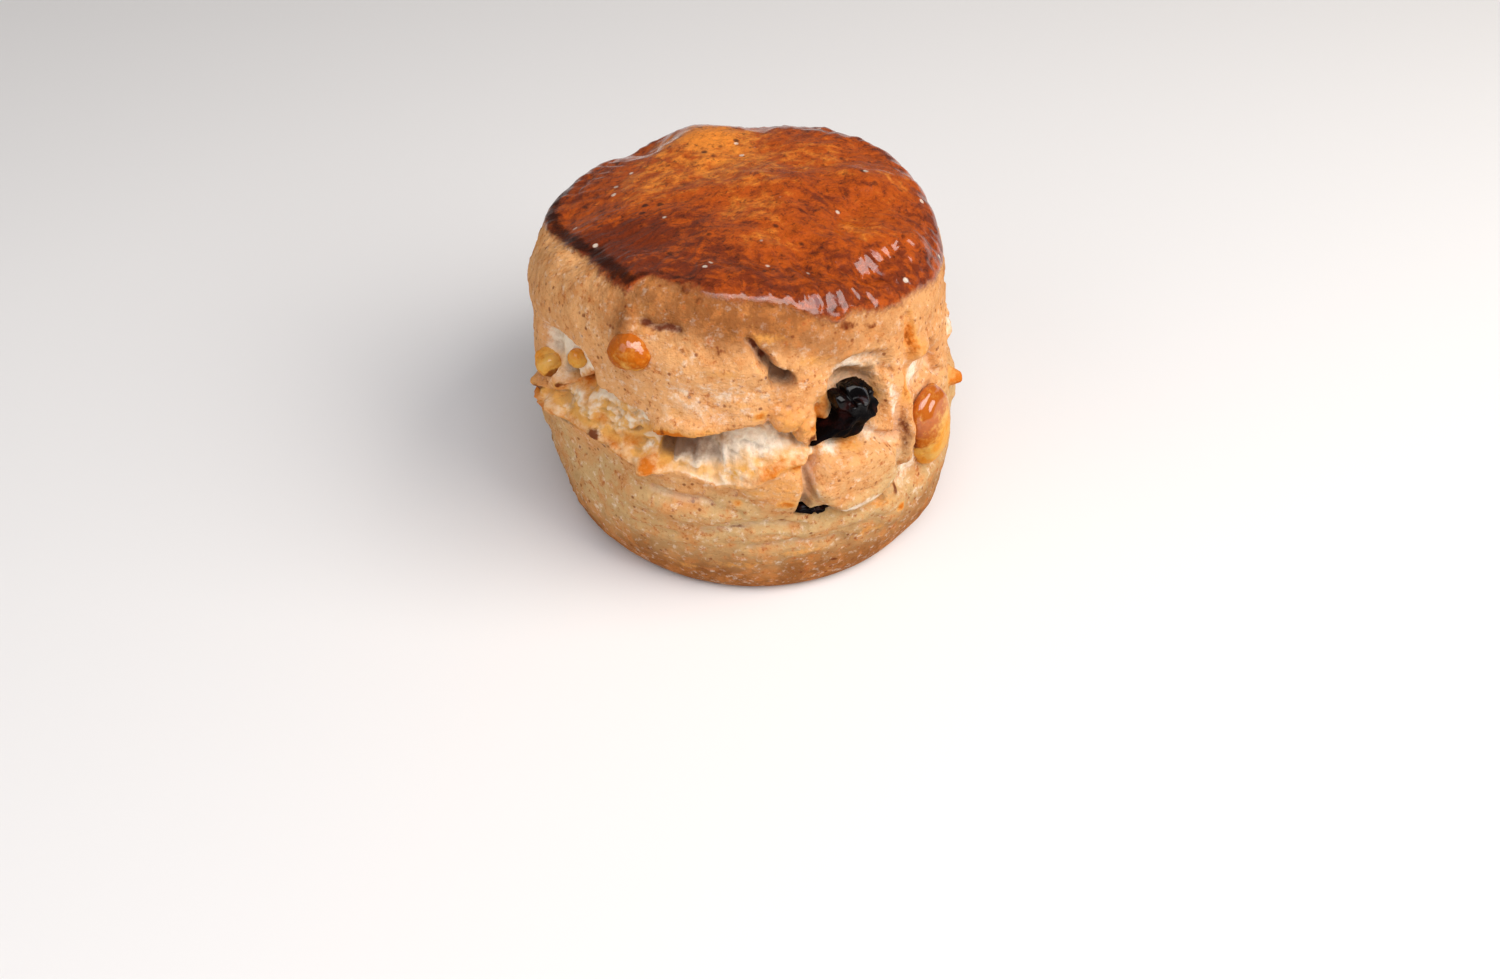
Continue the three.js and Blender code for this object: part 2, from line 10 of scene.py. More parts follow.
import bpy
import numpy as np
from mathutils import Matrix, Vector


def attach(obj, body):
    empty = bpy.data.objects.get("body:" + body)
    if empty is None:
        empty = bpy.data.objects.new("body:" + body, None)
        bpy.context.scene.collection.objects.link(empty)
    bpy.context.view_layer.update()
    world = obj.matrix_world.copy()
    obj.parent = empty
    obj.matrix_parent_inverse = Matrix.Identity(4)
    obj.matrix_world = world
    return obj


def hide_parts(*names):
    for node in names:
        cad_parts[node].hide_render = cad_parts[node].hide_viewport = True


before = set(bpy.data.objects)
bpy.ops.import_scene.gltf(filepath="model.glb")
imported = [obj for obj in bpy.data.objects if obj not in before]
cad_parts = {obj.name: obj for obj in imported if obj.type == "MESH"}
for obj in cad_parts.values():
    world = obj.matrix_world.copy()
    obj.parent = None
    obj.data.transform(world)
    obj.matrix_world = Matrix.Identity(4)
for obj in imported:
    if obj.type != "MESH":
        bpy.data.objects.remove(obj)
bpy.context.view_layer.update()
print("solids:", sorted(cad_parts))

# %% [markdown]
# ## Camera
# The photograph looks down on the scone at 44 degrees from about 24 cm away, so the foot looks
# narrower than the rim. A short distance matters more than the lens for that look, and both
# were worked out from the plate's ellipse and from how the wall closes in downwards.

# %% Camera
PHOTO_WIDTH = 1500
FOCAL_PIXELS = 1350
CAMERA_PLACE = (-0.0007, -0.17469, 0.16169)
CAMERA_TILT = 44
SENSOR = 36
NEAR_CLIP = 0.01

camera = bpy.data.objects.new("camera", bpy.data.cameras.new("camera"))
camera.data.sensor_width = SENSOR
camera.data.lens = FOCAL_PIXELS * SENSOR / PHOTO_WIDTH
camera.data.clip_start = NEAR_CLIP
camera.location = CAMERA_PLACE
camera.rotation_euler = (math.radians(90 - CAMERA_TILT), 0, 0)
bpy.context.scene.collection.objects.link(camera)
bpy.context.scene.camera = camera
print("lens, mm:", round(camera.data.lens, 1))

# %% [markdown]
# ## Light and floor
# The scone was photographed by a large window on the right, a little in front of it: soft
# shadows to the left, and one broad sheen along the glaze. An area light is a window, a wide
# cool one stands for the sky over the table's near side, and a dim one fills the left. The world
# itself stays dark, because a bright one would lay a white film over the glossy egg.

# %% Light
AIM = Vector((0, 0, 0.03))
# place and size in metres, power in watts, colour
LIGHTS = {
    "window": ((0.42, -0.20, 0.48), 0.48, 4.3, (1.0, 0.97, 0.94)),
    "sky": ((0.04, -0.4, 0.66), 0.5, 3, (0.86, 0.9, 1.0)),
    "fill": ((-0.45, -0.35, 0.35), 0.5, 0.9, (0.94, 0.97, 1.0)),
}
ROOM_COLOUR = (1.0, 0.97, 0.94, 1)
ROOM_STRENGTH = 0.14


def area_light(name, place, size, power, colour):
    """A square light of that size and power at a place, turned towards the scone."""
    light = bpy.data.lights.new(name, "AREA")
    light.size = size
    light.energy = power
    light.color = colour
    lamp = bpy.data.objects.new(name, light)
    lamp.location = place
    lamp.rotation_euler = (AIM - Vector(place)).to_track_quat("-Z", "Y").to_euler()
    bpy.context.scene.collection.objects.link(lamp)


for name, settings in LIGHTS.items():
    area_light(name, *settings)

world = bpy.data.worlds.new("room")
bpy.context.scene.world = world
world.use_nodes = True
room = world.node_tree.nodes["Background"].inputs
room["Color"].default_value = ROOM_COLOUR
room["Strength"].default_value = ROOM_STRENGTH
bpy.context.scene.view_settings.view_transform = "Standard"
print("lights:", ", ".join(LIGHTS))

# %% Floor
FLOOR_HALF = 3.0
FLOOR_COLOUR = (0.84, 0.81, 0.78, 1)
FLOOR_ROUGHNESS = 0.8

floor_mesh = bpy.data.meshes.new("floor")
floor_mesh.from_pydata(
    [(-FLOOR_HALF, -FLOOR_HALF, 0), (FLOOR_HALF, -FLOOR_HALF, 0),
     (FLOOR_HALF, FLOOR_HALF, 0), (-FLOOR_HALF, FLOOR_HALF, 0)], [], [(0, 1, 2, 3)])
floor = bpy.data.objects.new("floor", floor_mesh)
bpy.context.scene.collection.objects.link(floor)
floor_finish = bpy.data.materials.new("pale_floor")
floor_finish.use_nodes = True
floor_shader = floor_finish.node_tree.nodes["Principled BSDF"].inputs
floor_shader["Base Color"].default_value = FLOOR_COLOUR
floor_shader["Roughness"].default_value = FLOOR_ROUGHNESS
floor_mesh.materials.append(floor_finish)
print("floor across, m:", 2 * FLOOR_HALF)

# %% [markdown]
# ## Shader maths
# A finish is a sum of many small things: specks, streaks, pores. Wiring them by hand is slow to
# read, so a small class wraps a socket. Adding or multiplying two of them adds the Math node,
# and every other node comes from one method. Sizes are in millimetres on Object coordinates.

# %% A value that varies over a surface
class Value:
    """A socket that numbers and other values can be added to, multiplied by and so on."""

    def __init__(self, finish, socket):
        self.finish = finish
        self.socket = socket

    def math(self, operation, *values):
        return self.finish.node(
            "ShaderNodeMath", {"operation": operation}, dict(enumerate(values)))

    def __add__(self, other):
        return self.math("ADD", self, other)

    def __sub__(self, other):
        return self.math("SUBTRACT", self, other)

    def __rsub__(self, other):
        return self.math("SUBTRACT", other, self)

    def __mul__(self, other):
        return self.math("MULTIPLY", self, other)

    __radd__ = __add__
    __rmul__ = __mul__


# %% A finish under construction
def tint(red, green, blue):
    """A colour given as on screen, 0 to 255, turned into the linear values that a shader wants."""
    share = np.array([red, green, blue]) / 255
    linear = np.where(share <= 0.04045, share / 12.92, ((share + 0.055) / 1.055) ** 2.4)
    return (*linear.tolist(), 1.0)


class Finish:
    """A material with one Principled shader, built up from values."""

    def __init__(self, name, **constants):
        self.material = bpy.data.materials.new(name)
        self.material.use_nodes = True
        self.tree = self.material.node_tree
        self.shader = self.tree.nodes["Principled BSDF"]
        for socket, value in constants.items():
            self.shader.inputs[socket.replace("_", " ")].default_value = value
        place = self.node("ShaderNodeTexCoord", out="Object")
        self.place = self.node(
            "ShaderNodeVectorMath", {"operation": "SCALE"}, {0: place, "Scale": 1000})

    def node(self, kind, settings=None, inputs=None, out=0):
        """Any node: its settings first, then the values or links of its sockets."""
        made = self.tree.nodes.new(kind)
        for key, value in (settings or {}).items():
            setattr(made, key, value)
        for key, value in (inputs or {}).items():
            if isinstance(value, Value):
                self.tree.links.new(value.socket, made.inputs[key])
            else:
                made.inputs[key].default_value = value
        return Value(self, made.outputs[out])

    def mask(self, name):
        """A number stored on every point of the mesh."""
        return self.node("ShaderNodeAttribute", {"attribute_name": name}, out="Fac")

    def stretched(self, stretch):
        """The place squeezed, so that a pattern runs that many times as long along each axis."""
        return self.node("ShaderNodeMapping", {}, {
            "Vector": self.place, "Scale": tuple(1 / s for s in stretch)})

    def cloud(self, size, detail=3, rough=0.5, place=None, warp=0.0):
        """Soft noise from 0 to 1 whose blobs are about that many millimetres."""
        return self.node("ShaderNodeTexNoise", {}, {
            "Vector": place or self.place, "Scale": 1 / size, "Detail": detail,
            "Roughness": rough, "Distortion": warp})

    def cells(self, size):
        """Distance to the nearest of scattered points about that many millimetres apart."""
        return self.node("ShaderNodeTexVoronoi", {}, {
            "Vector": self.place, "Scale": 1 / size}, out="Distance")

    def rise(self, value, low, high):
        """0 below low, 1 above high, and a smooth slope between them (low may be the larger)."""
        return self.node("ShaderNodeMapRange", {"interpolation_type": "SMOOTHSTEP"}, {
            "Value": value, "From Min": low, "From Max": high})

    def blend(self, first, second, share):
        """A colour that goes from the first to the second with the share."""
        return self.node(
            "ShaderNodeMix", {"data_type": "RGBA"}, {0: share, 6: first, 7: second}, out=2)

    def coats(self, colour, *coats):
        """A colour with others blended over it one after another, each given with its share."""
        for over, share in coats:
            colour = self.blend(colour, over, share)
        return colour

    def bump(self, height, distance, strength):
        """A normal from a height; distance is the rise in metres that a height of 1 stands for."""
        return self.node("ShaderNodeBump", {}, {
            "Height": height, "Distance": distance, "Strength": strength})

    def connect(self, **sockets):
        """Link values to sockets of the shader, and give the material back."""
        for socket, value in sockets.items():
            self.tree.links.new(value.socket, self.shader.inputs[socket.replace("_", " ")])
        print(self.material.name, "nodes:", len(self.tree.nodes))
        return self.material


# %% [markdown]
# ## The outline of the scone
# The dough was cut with a round cutter and then rose. So its plain form is an outline turned
# about the upright axis: flat foot, rounded heel, slightly barrelled wall, soft rim, low dome.
# It rose higher in front and leans to the left. All sizes are in millimetres.

# %% Driving sizes
FOOT_RADIUS = 28.4
HEEL_RISE = 13.5
WALL_RADIUS_LOW = 33.6
WALL_RADIUS_HIGH = 32.3
WALL_BARREL = 0.5
RIM_RADIUS = 26.0
RIM_DROP = 9.6
RIM_HEIGHT = 51.4
DOME_RISE = 3.3
MEAN_RADIUS = 33.0
TILT_FRONT = 0.066
TILT_RIGHT = 0.029
LEAN_LEFT = 3.4
LEAN_POWER = 1.2
RIM_WAVES = [(2, 0.0195, -0.028), (3, 0.018, -0.005)]
PLAN_WAVES = [(2, 0.012, 0.005), (3, -0.003, 0.0)]
ARC = MEAN_RADIUS * math.pi / 180


# %% The outline as points along its length
def outline(steps=40):
    """Radius and height along the outline: the flat foot, a quarter ellipse for the heel, the
    wall as a straight line plus half a sine, a quarter ellipse for the rim, and a parabola for
    the dome."""
    turn = np.linspace(0, math.pi / 2, steps)
    part = np.linspace(0, 1, steps)
    wall_top = RIM_HEIGHT - RIM_DROP
    wall = WALL_RADIUS_LOW + (WALL_RADIUS_HIGH - WALL_RADIUS_LOW) * part
    pieces = [
        (FOOT_RADIUS * part, 0 * part),
        (FOOT_RADIUS + (WALL_RADIUS_LOW - FOOT_RADIUS) * np.sin(turn),
         HEEL_RISE * (1 - np.cos(turn))),
        (wall + WALL_BARREL * np.sin(math.pi * part),
         HEEL_RISE + (wall_top - HEEL_RISE) * part),
        (RIM_RADIUS + (WALL_RADIUS_HIGH - RIM_RADIUS) * np.cos(turn),
         wall_top + RIM_DROP * np.sin(turn)),
        (RIM_RADIUS * (1 - part), RIM_HEIGHT + DOME_RISE * (1 - (1 - part) ** 2)),
    ]
    radius = np.concatenate([r[min(i, 1):] for i, (r, _) in enumerate(pieces)])
    height = np.concatenate([z[min(i, 1):] for i, (_, z) in enumerate(pieces)])
    along = np.concatenate([[0], np.cumsum(np.hypot(np.diff(radius), np.diff(height)))])
    return along, radius, height


ALONG, OUTLINE_RADIUS, OUTLINE_HEIGHT = outline()
LENGTH = ALONG[-1]
print("outline from foot to top, mm:", round(float(LENGTH), 1))


# %% The plain form
def waves(table, angle):
    """Sum of cosines and sines of whole multiples of the angle."""
    return sum(c * np.cos(n * angle) + s * np.sin(n * angle) for n, c, s in table)


def plain(azimuth, along):
    """The leaning drum without relief: radius times the plan waves, turned by the azimuth; the
    height grows in proportion to how far a point lies in front and to the right."""
    angle = np.radians(azimuth)
    radius = np.interp(along, ALONG, OUTLINE_RADIUS)
    reach = radius * (1 + waves(PLAN_WAVES, angle))
    x, y = reach * np.sin(angle), -reach * np.cos(angle)
    lift = 1 - TILT_FRONT * y / MEAN_RADIUS + TILT_RIGHT * x / MEAN_RADIUS
    lift = lift + np.clip(radius / RIM_RADIUS, 0, 1) ** 2 * waves(RIM_WAVES, angle)
    z = np.interp(along, ALONG, OUTLINE_HEIGHT) * lift
    return np.stack([x - LEAN_LEFT * np.maximum(z / RIM_HEIGHT, 0) ** LEAN_POWER, y, z])


# %% [markdown]
# ## Lumps
# Baked dough is lumpy at every size. Value noise gives that: a fixed number at each corner of a
# lattice, blended smoothly in between, and several sizes added up. The numbers come from whole
# number arithmetic, so the same lumps appear on every run.

# %% Noise
LOW_BITS = np.uint64(0xFFFFFFFF)
HALF_RANGE = 2147483648.0
MIX_X, MIX_Y, MIX_Z = np.uint64(374761393), np.uint64(668265263), np.uint64(1442695041)
MIX_SEED = 974634777
MIX_AGAIN = np.uint64(1274126177)
FIRST_FOLD, SECOND_FOLD = np.uint64(13), np.uint64(16)
OCTAVE_SHIFT = np.array([7.3, -3.1, 1.7])


def lattice(ix, iy, iz, seed):
    """A number from -1 to 1 for each lattice corner, by mixing the bits of its indices."""
    a, b, c = (i.astype(np.int64).astype(np.uint64) & LOW_BITS for i in (ix, iy, iz))
    mixed = (a * MIX_X + b * MIX_Y + c * MIX_Z + np.uint64(seed * MIX_SEED)) & LOW_BITS
    mixed = ((mixed ^ (mixed >> FIRST_FOLD)) * MIX_AGAIN) & LOW_BITS
    mixed = mixed ^ (mixed >> SECOND_FOLD)
    return mixed.astype(float) / HALF_RANGE - 1.0


def noise(place, seed):
    """Lattice numbers at the eight corners round each place, weighted by 6t^5 - 15t^4 + 10t^3."""
    corner = np.floor(place)
    t = place - corner
    t = t * t * t * (t * (t * 6 - 15) + 10)
    total = 0.0
    for step in itertools.product((0, 1), repeat=3):
        weight = math.prod(t[k] if step[k] else 1 - t[k] for k in range(3))
        total = total + weight * lattice(*(corner[k] + step[k] for k in range(3)), seed)
    return total


def lumps(place, size, octaves, seed, keep=0.5):
    """Noise of the given size plus noise of half the size at a share 'keep', and so on, over
    the sum of the shares."""
    total, share, whole = 0.0, 1.0, 0.0
    for k in range(octaves):
        shift = (OCTAVE_SHIFT * k).reshape(3, *[1] * (place.ndim - 1))
        total = total + share * noise(place * (2.0 ** k / size) + shift, seed + k)
        whole += share
        share *= keep
    return total / whole


# %% Smooth steps and bells
def smooth(t):
    """0 below 0, 1 above 1, and 3t^2 - 2t^3 between."""
    t = np.clip(t, 0.0, 1.0)
    return t * t * (3 - 2 * t)


def bell(t):
    """The bell curve e to the minus t squared."""
    return np.exp(-t * t)


def wrap(degrees):
    """An angle brought between -180 and 180 degrees."""
    return (degrees + 180.0) % 360.0 - 180.0


def through(x, knots):
    """Straight lines through the knots, held level beyond the ends."""
    return np.interp(x, [k[0] for k in knots], [k[1] for k in knots])


# %% [markdown]
# ## Where the glaze ends
# The egg was brushed on the top and ran a few millimetres over the rim, so its lower edge wanders.
# It is given as degrees round from the front and millimetres up the outline from the foot.

# %% Glaze edge
GLAZE_EDGE = [
    (-180, 50), (-160, 52), (-135, 48.5), (-112, 52), (-99, 51.5), (-78, 56), (-55, 57),
    (-39, 55), (-28, 53.2), (-23, 55.8), (-13, 55.1), (-3, 54), (10, 53.8), (16, 53.4),
    (22, 51.4), (28, 50.5), (33, 51.8), (40, 51.2), (50, 50.2), (60, 50), (70, 48.7),
    (82, 47.5), (100, 50), (118, 47.5), (140, 52), (160, 49), (180, 50),
]
GLAZE_THICKNESS = 0.45
glaze_ends = [up for _, up in GLAZE_EDGE]
print("glaze ends, mm up the outline:", min(glaze_ends), "to", max(glaze_ends))

# %% [markdown]
# ## Tears
# While the scone rose, its side split. Each tear is a band between an upper and a lower edge. The
# crumb lies deepest just under the upper edge and ramps out to the lower edge, which curled up
# and toasted. Under the upper edge the crumb is painted darker as shade. The first one is the
# ledge on the left, the second the open mouth in front.

# %% Tears
# span, and mm over which its ends close; rise of the skin over it (brow), tatter of its upper
# edge in mm, share of yellow crumb; then along degrees round: share of painted shade, upper and
# lower edge in mm up, depth, rise of the lip, how far skin hangs, and how brown both edges are
TEARS = [
    dict(span=(-72, -16), ends=3, brow=0.1, ragged=1.6, yellow=1,
         painted_shadow=[(-72, 0), (-24, 0.1), (-19, 0.6)],
         upper=[(-72, 31), (-63, 32.4), (-52, 35.4), (-43, 38.6), (-33, 38.2), (-23, 37.3),
                (-19, 35.6), (-10, 33)],
         lower=[(-72, 27), (-61, 29), (-52, 29.8), (-42, 29.8), (-33, 28.8), (-26, 26.8),
                (-22, 27.5), (-10, 29)],
         depth=[(-72, 0.3), (-55, 1.2), (-43, 2), (-30, 1.5), (-21, 2.6), (-10, 3)],
         lip=[(-72, 0.8), (-60, 2), (-50, 1.4), (-33, 1.8), (-25, 2.4), (-19, 1.2), (-16, 0.3)],
         hang=[(-72, 0), (-50, 0.3), (-30, 0.5), (-19, 0.8)],
         brown_low=[(-72, 1), (-60, 0.9), (-52, 0.6), (-33, 0.7), (-24, 0.8), (-16, 0.5)],
         brown_high=[(-72, 0.5), (-60, 0.1), (-16, 0.1)]),
    dict(span=(-23, 19), ends=2.5, brow=0.3, ragged=0, yellow=0.12,
         painted_shadow=[(-23, 1.1), (-17, 1.1), (-11, 0.8), (-4, 0.5), (3, 0.25), (10, 0.1), (19, 0)],
         upper=[(-23, 35.8), (-17.3, 35), (-12.3, 35), (-4.7, 35.8), (2.7, 36.5), (7, 36.7),
                (11.7, 35.3), (15.7, 33), (20, 31.5)],
         lower=[(-23, 28), (-21, 27.5), (-14, 26.7), (-6.7, 26.1), (1.7, 28), (9.3, 30),
                (16, 30.9), (20, 31)],
         depth=[(-23, 5), (-19, 8.5), (-13, 8.5), (-7, 7), (-1, 5.2), (6, 3.6), (14, 2.4), (20, 1)],
         lip=[(-23, 0.2), (-15, 0.5), (-6, 0.9), (4, 1.1), (12, 1.6), (19, 1.6)],
         hang=[(-23, 0.4), (-18, 0.6), (-6, 0.6), (4, 0.5), (12, 0.4), (19, 0.2)],
         brown_low=[(-23, 0), (-6, 0.1), (0, 0.35), (6, 0.9), (12, 0.8), (19, 0.4)],
         brown_high=[(-23, 1), (-12, 1), (-9, 0.5), (-4, 0.45), (0, 0.1), (19, 0.1)]),
    dict(span=(84, 158), ends=4, brow=0.45, ragged=0.8, yellow=0.3,
         painted_shadow=[(84, 0), (110, 0.7), (130, 0.8), (158, 0.2)],
         upper=[(84, 34), (96, 36), (110, 39), (124, 37), (138, 40), (150, 38), (158, 37)],
         lower=[(84, 31), (98, 30), (112, 31.5), (126, 29), (140, 31), (158, 33)],
         depth=[(84, 0.5), (98, 2.2), (112, 3.2), (126, 3.6), (142, 2.4), (158, 1)],
         lip=[(84, 0.6), (110, 1.6), (126, 1), (142, 1.8), (158, 0.8)],
         hang=[(84, 0.3), (112, 0.9), (134, 1), (158, 0.3)],
         brown_low=[(84, 0.3), (108, 0.9), (124, 0.2), (142, 0.9), (158, 0.4)],
         brown_high=[(84, 0.1), (112, 0.5), (130, 0.9), (158, 0.1)]),
    dict(span=(-152, -96), ends=4, brow=0.45, ragged=0.8, yellow=0.6,
         painted_shadow=[(-152, 0.2), (-130, 0.7), (-96, 0.2)],
         upper=[(-152, 27), (-140, 29), (-126, 32), (-112, 34), (-96, 33)],
         lower=[(-152, 24), (-138, 23.5), (-124, 25), (-110, 28), (-96, 30)],
         depth=[(-152, 1), (-138, 2.6), (-120, 3), (-104, 1.6), (-96, 0.5)],
         lip=[(-152, 0.8), (-130, 1.6), (-112, 1), (-96, 0.8)],
         hang=[(-152, 0.2), (-134, 0.9), (-112, 0.7), (-96, 0.2)],
         brown_low=[(-152, 0.4), (-132, 0.9), (-112, 0.5), (-96, 0.9)],
         brown_high=[(-152, 0.1), (-128, 0.7), (-96, 0.1)]),
]


# half widths in mm of the bells along the lower edge: towards the crumb, and down the wall
LIP_REACH = (2.1, 0.9)
TOAST_REACH = (1.9, 1.1)
# along the upper edge: mm over it, and half width
BROW_PLACE = (1, 1.1)
SCORCH_PLACE = (0.3, 0.8)
HANG_PLACE = (0.3, 0.9)
# share of the depth at the lower edge, and the power with which it grows to the upper one
RAMP_START = 0.1
RAMP_POWER = 1.5
# mm that the edges of a tear are at least apart
NARROWEST = 0.5


def tear(one, azimuth, up, tatter):
    """Push, torn and toasted share, painted shade and hang of one tear. With g from 0 at the lower
    edge to 1 at the upper, the hollow is depth times (0.1 + 0.9 g^1.5). A bell along each edge is
    the lip, and the skin of the upper one hangs down over the hollow, tattered by the given lumps."""
    upper = through(azimuth, one["upper"]) + one["ragged"] * tatter
    lower = through(azimuth, one["lower"])

    def low_bell(key, reach):
        return through(azimuth, one[key]) * bell((up - lower) / np.where(up > lower, *reach))

    def high_bell(key, place):
        return through(azimuth, one[key]) * bell((up - upper - place[0]) / place[1])

    first, last = one["span"]
    ends = smooth((azimuth - first) / one["ends"]) * smooth((last - azimuth) / one["ends"])
    share = np.clip((up - lower) / np.maximum(upper - lower, NARROWEST), 0, 1)
    inside = smooth(up - lower + 0.5) * smooth((upper - up) / 0.8 + 0.2)
    ramp = RAMP_START + (1 - RAMP_START) * share ** RAMP_POWER
    hollow = inside * through(azimuth, one["depth"]) * ramp
    lip = low_bell("lip", LIP_REACH)
    brow = one["brow"] * bell((up - upper - BROW_PLACE[0]) / BROW_PLACE[1])
    toast = np.maximum(low_bell("brown_low", TOAST_REACH), high_bell("brown_high", SCORCH_PLACE))
    hang = high_bell("hang", HANG_PLACE)
    # painted shadow: the crumb under the upper edge is darkened in colour as shade
    painted_shadow = inside * through(azimuth, one["painted_shadow"]) * smooth((share - 0.1) / 0.25)
    return ends * (lip + brow - hollow), ends * inside, ends * toast, ends * painted_shadow, ends * hang


print("deepest in each tear, mm:", [max(deep for _, deep in one["depth"]) for one in TEARS])

# %% [markdown]
# ## Hollows, swellings and grooves
# The rest of the wall is a crowd of rounded forms: the pocket with two nut pieces, the smooth
# panel, a pit, the raisin's recess, a lump, a flap. Each is an oval that pushes in or out. Lines
# such as the slit and the fold are grooves along a short course.

# %% Ovals and grooves
# round, up, half width, half height, turn in degrees, push, softness of the edge
OVALS = [
    (-51.5, 39.5, 7.2, 4.4, -12, -2.6, 0.3),  # pocket with the two small nut pieces
    (-54.5, 36.6, 1.6, 1.2, 0, -2.2, 0.5),  # deepest hole of that pocket
    (-65, 31, 2.8, 1.7, 0, 1.9, 0.5),  # burnt tip under it
    (-24, 28.7, 1.6, 1.3, -30, 0.7, 0.5),  # orange tip of the ledge
    (-25, 46.2, 4.6, 3.8, 0, 0.5, 0.7),  # dough stretched round the small round nut
    (-26, 49.6, 1.2, 1.5, 0, 0.8, 0.6),  # drop of dough above that nut
    (-4, 40.5, 12.5, 6.5, 6, 0.9, 0.35),  # smooth panel over the main tear
    (-13, 35.4, 4.5, 1.4, 2, 1, 0.6),  # toasted lower edge of the panel
    (-1, 44.5, 8, 2.2, 4, 0.5, 0.6),  # swelling above it
    (8.4, 46, 2, 0.9, -46, -1.5, 0.4),  # channel from the slit down to the pit
    (11.9, 43.2, 1.8, 1.6, -20, -2.6, 0.25),  # smooth pit
    (14.2, 36.2, 3.3, 2.3, -20, 1.2, 0.4),  # rough fragment of dough
    (29.3, 36, 5.9, 5.6, 35, -2.7, 0.25),  # bed of the front raisin
    (33.6, 41.6, 4.9, 3.6, 6, -1.4, 0.3),  # open hollow over it
    (22.6, 38.2, 1.2, 3.6, 12, 0.9, 0.5),  # ragged rim left of it
    (28.8, 25.4, 6.7, 5.5, -14, 2, 0.2),  # smooth lump under the raisin
    (8, 26.2, 6, 3.4, -14, 1.5, 0.45),  # toasted flap of the main tear
    (57, 36.8, 4.6, 3.4, 0, -1.3, 0.35),  # stretched pale dough behind the fold
    (58, 25.4, 5.6, 8.8, 0, -1.2, 0.4),  # bed of the nut on the right
    (46.5, 19.8, 2.4, 3, 20, -1.1, 0.4),  # pale hollow under it
    (46.5, 33, 1.6, 5.5, 6, 0.9, 0.5),  # ridge between raisin and nut
    (45.6, 26.6, 2.3, 3.4, 0, 1, 0.5),  # swelling left of the nut
    (54, 41.6, 2.2, 1.7, -20, 0.9, 0.5),  # small bulge over the pale dough
    (79, 26.2, 1.3, 1.2, 0, 2.2, 0.5),  # small nib on the right
    (3, 21.5, 15, 1.5, 3, 0.8, 0.7),  # rolls of the lower wall
    (-18, 20.5, 9, 1.6, -5, 0.6, 0.7),
    (24, 17, 9, 1.4, -4, 0.7, 0.7),
    (41, 16, 3, 3.6, 0, 0.9, 0.5),
    (-40, 24.5, 9, 2.6, -6, -0.8, 0.8),
    (118, 43, 6, 3.4, 0, -1.6, 0.35),  # the same kinds of form on the sides turned away
    (152, 24, 7, 5, 10, 1.9, 0.2),
    (172, 37, 7.4, 4.4, 14, -2, 0.4),
    (-168, 24, 9, 4.5, -8, 1.4, 0.25),
    (-106, 18.5, 4.6, 3.8, 0, -1.5, 0.4),
    (-92, 43, 7, 4, 8, 0.9, 0.5),
    (-84, 22, 9, 4, 0, 0.8, 0.5),
    (98, 21, 8, 4.5, 5, 1.2, 0.3),
    (128, 17, 6, 2.5, 0, -0.9, 0.5),
]
# half width, depth, and the corners of the course
GROOVES = [
    (0.8, 1.4, [(4.4, 48.6), (6.2, 46.8), (9.2, 44.8)]),
    (0.9, 1.6, [(17.4, 32.2), (16.4, 29.4), (15.2, 25.2), (13.6, 21.4)]),
    (0.9, 1.2, [(12.8, 20.6), (17, 20.3), (22, 20.8), (28, 19), (36, 18.2)]),
    (1.2, 1.3, [(51.5, 47.5), (50, 43), (48.6, 38.4), (44.8, 34.4), (43.8, 30), (43.2, 24.5),
                (42.6, 20.5)]),
    (1.2, 1.4, [(21, 33.6), (25.5, 31), (33, 31.2), (41, 29)]),
    (1, 0.8, [(-12, 16.8), (-4, 17.4), (5, 18.2), (13, 17.6)]),
    (0.9, 0.6, [(-24, 22.6), (-12, 22.4), (-2, 21)]),
    (1, 1.1, [(-38, 28), (-30, 26.8), (-25.5, 26)]),
    (0.8, 0.7, [(-22, 50), (-18, 49.4), (-13, 49.4)]),
    (0.9, 0.6, [(0, 13.6), (12, 14.4), (24, 13.2)]),
    (1, 1.2, [(62, 39), (66, 33), (70, 31)]),
    (1.2, 1.5, [(160, 33), (166, 29), (172, 28), (180, 27)]),
    (1.2, 1.5, [(-180, 27), (-170, 30), (-160, 30)]),
    (1.1, 1.3, [(-112, 47), (-106, 42), (-104, 36)]),
    (1, 1, [(84, 43), (92, 40), (99, 41)]),
]


# half widths at which a groove has run out, and mm that count as far from it
GROOVE_REACH = 1.3
FAR = 9.0


def ellipse(u, v, half, tall, turn):
    """Distance from the middle of a turned ellipse, where 1 is its edge."""
    c, s = math.cos(math.radians(turn)), math.sin(math.radians(turn))
    return np.hypot((u * c + v * s) / half, (v * c - u * s) / tall)


def oval(u, v, half, tall, turn, soft):
    """1 inside the turned ellipse, 0 outside, easing over twice the softness."""
    return smooth((1 + soft - ellipse(u, v, half, tall, turn)) / (2 * soft))


def groove(half, course, azimuth, up):
    """1 on the course and 0 from 1.3 half widths away, by the distance to its nearest stretch."""
    nearest = np.full_like(up, FAR)
    for (a0, u0), (a1, u1) in zip(course[:-1], course[1:]):
        ex, ey = (a1 - a0) * ARC, u1 - u0
        dx, dy = wrap(azimuth - a0) * ARC, up - u0
        k = np.clip((dx * ex + dy * ey) / (ex * ex + ey * ey), 0, 1)
        nearest = np.minimum(nearest, np.hypot(dx - k * ex, dy - k * ey))
    return smooth(GROOVE_REACH - nearest / half)


print("ovals:", len(OVALS), "grooves:", len(GROOVES))

